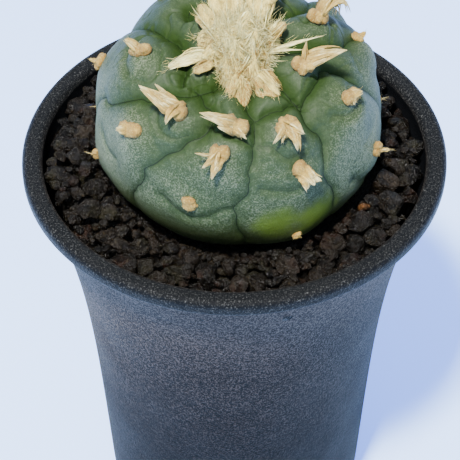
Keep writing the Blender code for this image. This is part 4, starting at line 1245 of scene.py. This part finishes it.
def resting_height(x, y, radius, squash):
    """Where a granule's centre comes to rest, and the patch of the heap under it."""
    column = int(round(x / CELL)) + reach_cells
    row = int(round(y / CELL)) + reach_cells
    half = int(radius / CELL) + 1
    patch = np.s_[max(0, column - half):column + half + 1, max(0, row - half):row + half + 1]
    off = (grid_x[patch] - x) ** 2 + (grid_y[patch] - y) ** 2
    cap = squash * np.sqrt(np.maximum(0, radius ** 2 - off))
    inside = off < (0.8 * radius) ** 2
    return float((heap[patch] + cap)[inside].max()) - 0.35 * radius * squash, patch, cap, off < radius ** 2


def under_plant(x, y):
    """The height of the stem's underside over a place, or none beside the plant."""
    across = math.hypot(x - PLANT_CENTRE[0], y - PLANT_CENTRE[1]) / PLANT_RADIUS
    if across >= 1:
        return 999.0
    return PLANT_CENTRE[2] - PLANT_BOTTOM * (1 - across ** PLANT_FULLNESS) ** (1 / PLANT_FULLNESS)


def add_granule(swarm, place, size, tone, index, fineness):
    """A broken, rough lump: an icosphere with flat breaks, pushed about by coarse and fine noise."""
    kind = swarm.shape(fineness, lambda bm: bmesh.ops.create_icosphere(bm, subdivisions=fineness, radius=1))
    spin = Matrix.Rotation(index * 2.4, 3, Vector((math.sin(index), math.cos(index * 1.7), 0.6)).normalized())
    ball = kind["ball"] @ np.array(spin)
    for _ in range(7):
        way = unit(np.array([draw.gauss(0, 1), draw.gauss(0, 1), draw.gauss(0, 1)]))
        over = ball @ way - draw.uniform(0.50, 0.85)
        ball = ball - np.outer(np.maximum(0, over), way)
    apart = Vector((index * 1.3, 0, 0))
    rough = [1.16 + 0.34 * noise.noise(Vector(co) * 1.6 + apart)
             + 0.22 * noise.noise(Vector(co) * 4.5 - apart) for co in ball]
    places = ball * np.array(rough)[:, None] * np.array(size) + np.array(place)
    kind["copies"].append((places, np.full(len(ball), tone), places))


LARGE_COUNT = 360
HEAP_LIMIT = 3.6
AMBER_ABOVE = 0.996
FINER_ABOVE = 2.9
swarms = {"mix_chunks": Swarm(1), "mix_crumbs": Swarm(2)}
placed = 0
for index in range(GRANULE_COUNT):
    large = index < LARGE_COUNT
    radius = draw.triangular(1.6, 3.4, 2.3) if large else draw.uniform(0.6, 1.4)
    squash = draw.uniform(0.70, 0.95)
    best = None
    for _ in range(18 if large else 12):
        around = draw.uniform(0, math.tau)
        out_to = wall_radius(mix_edge + 5) - POT_WALL - radius * 0.66
        along = math.sqrt(draw.uniform((0.44 * mix_radius) ** 2, out_to ** 2))
        x, y = along * math.cos(around), along * math.sin(around)
        height, patch, cap, covered = resting_height(x, y, radius, squash)
        inward = math.hypot(x - PLANT_CENTRE[0], y - PLANT_CENTRE[1])
        nearer = max(0.0, inward - 0.8 * radius) / max(inward, 0.01)
        ceiling = under_plant(PLANT_CENTRE[0] + (x - PLANT_CENTRE[0]) * nearer,
                              PLANT_CENTRE[1] + (y - PLANT_CENTRE[1]) * nearer)
        limit = mix_height(along) + banked(x, y) + HEAP_LIMIT
        if height + radius * squash > ceiling - 0.3 or height + 0.3 * radius > limit:
            continue
        if best is None or height < best[0]:
            best = (height, patch, cap, covered, x, y)
    if best is None:
        continue
    height, patch, cap, covered, x, y = best
    heap[patch] = np.where(covered, np.maximum(heap[patch], height + cap), heap[patch])
    chance = draw.random()
    tone = 0.97 if chance > AMBER_ABOVE and not large else draw.uniform(0.0, 0.85) ** 1.2
    target = "mix_chunks" if large else "mix_crumbs"
    size = (radius, radius * draw.uniform(0.8, 1.0), radius * squash)
    add_granule(swarms[target], (x, y, height), size, tone, index, 3 if radius > FINER_ABOVE else 2)
    placed += 1
for name, swarm in swarms.items():
    finish_piece(name, swarm.build(), grit, sharp_from=38)
print("granules placed:", placed)

# %% [markdown]
# ### The large loose granules
# The frame names a number of larger granules that lie on top. Each is made again in its own place
# and size, with the broken outline and the pores of the rest.

# %% Model the large granules
large_nodes = sorted(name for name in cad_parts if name.startswith("granule_"))
for index, name in enumerate(large_nodes):
    low, high = (Vector(corner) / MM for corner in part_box(name))
    size = high - low
    lump_bm = bmesh.new()
    lump_tone = lump_bm.verts.layers.float.new("tone")
    verts = bmesh.ops.create_icosphere(lump_bm, subdivisions=3, radius=1)["verts"]
    for vert in verts:
        rough = 1 + 0.34 * noise.noise(vert.co * 1.5 + Vector((index * 5.1, 0, 0)))
        rough += 0.20 * noise.noise(vert.co * 4.5 + Vector((0, index * 5.1, 0)))
        co = vert.co * rough
        vert.co = (low + high) / 2 + Vector((co.x * size.x, co.y * size.y, co.z * size.z)) * 0.52
        vert[lump_tone] = 0.15 + 0.5 * ((index * 37) % 11) / 11
    finish_piece(f"loose_{name}", lump_bm, grit, [name])
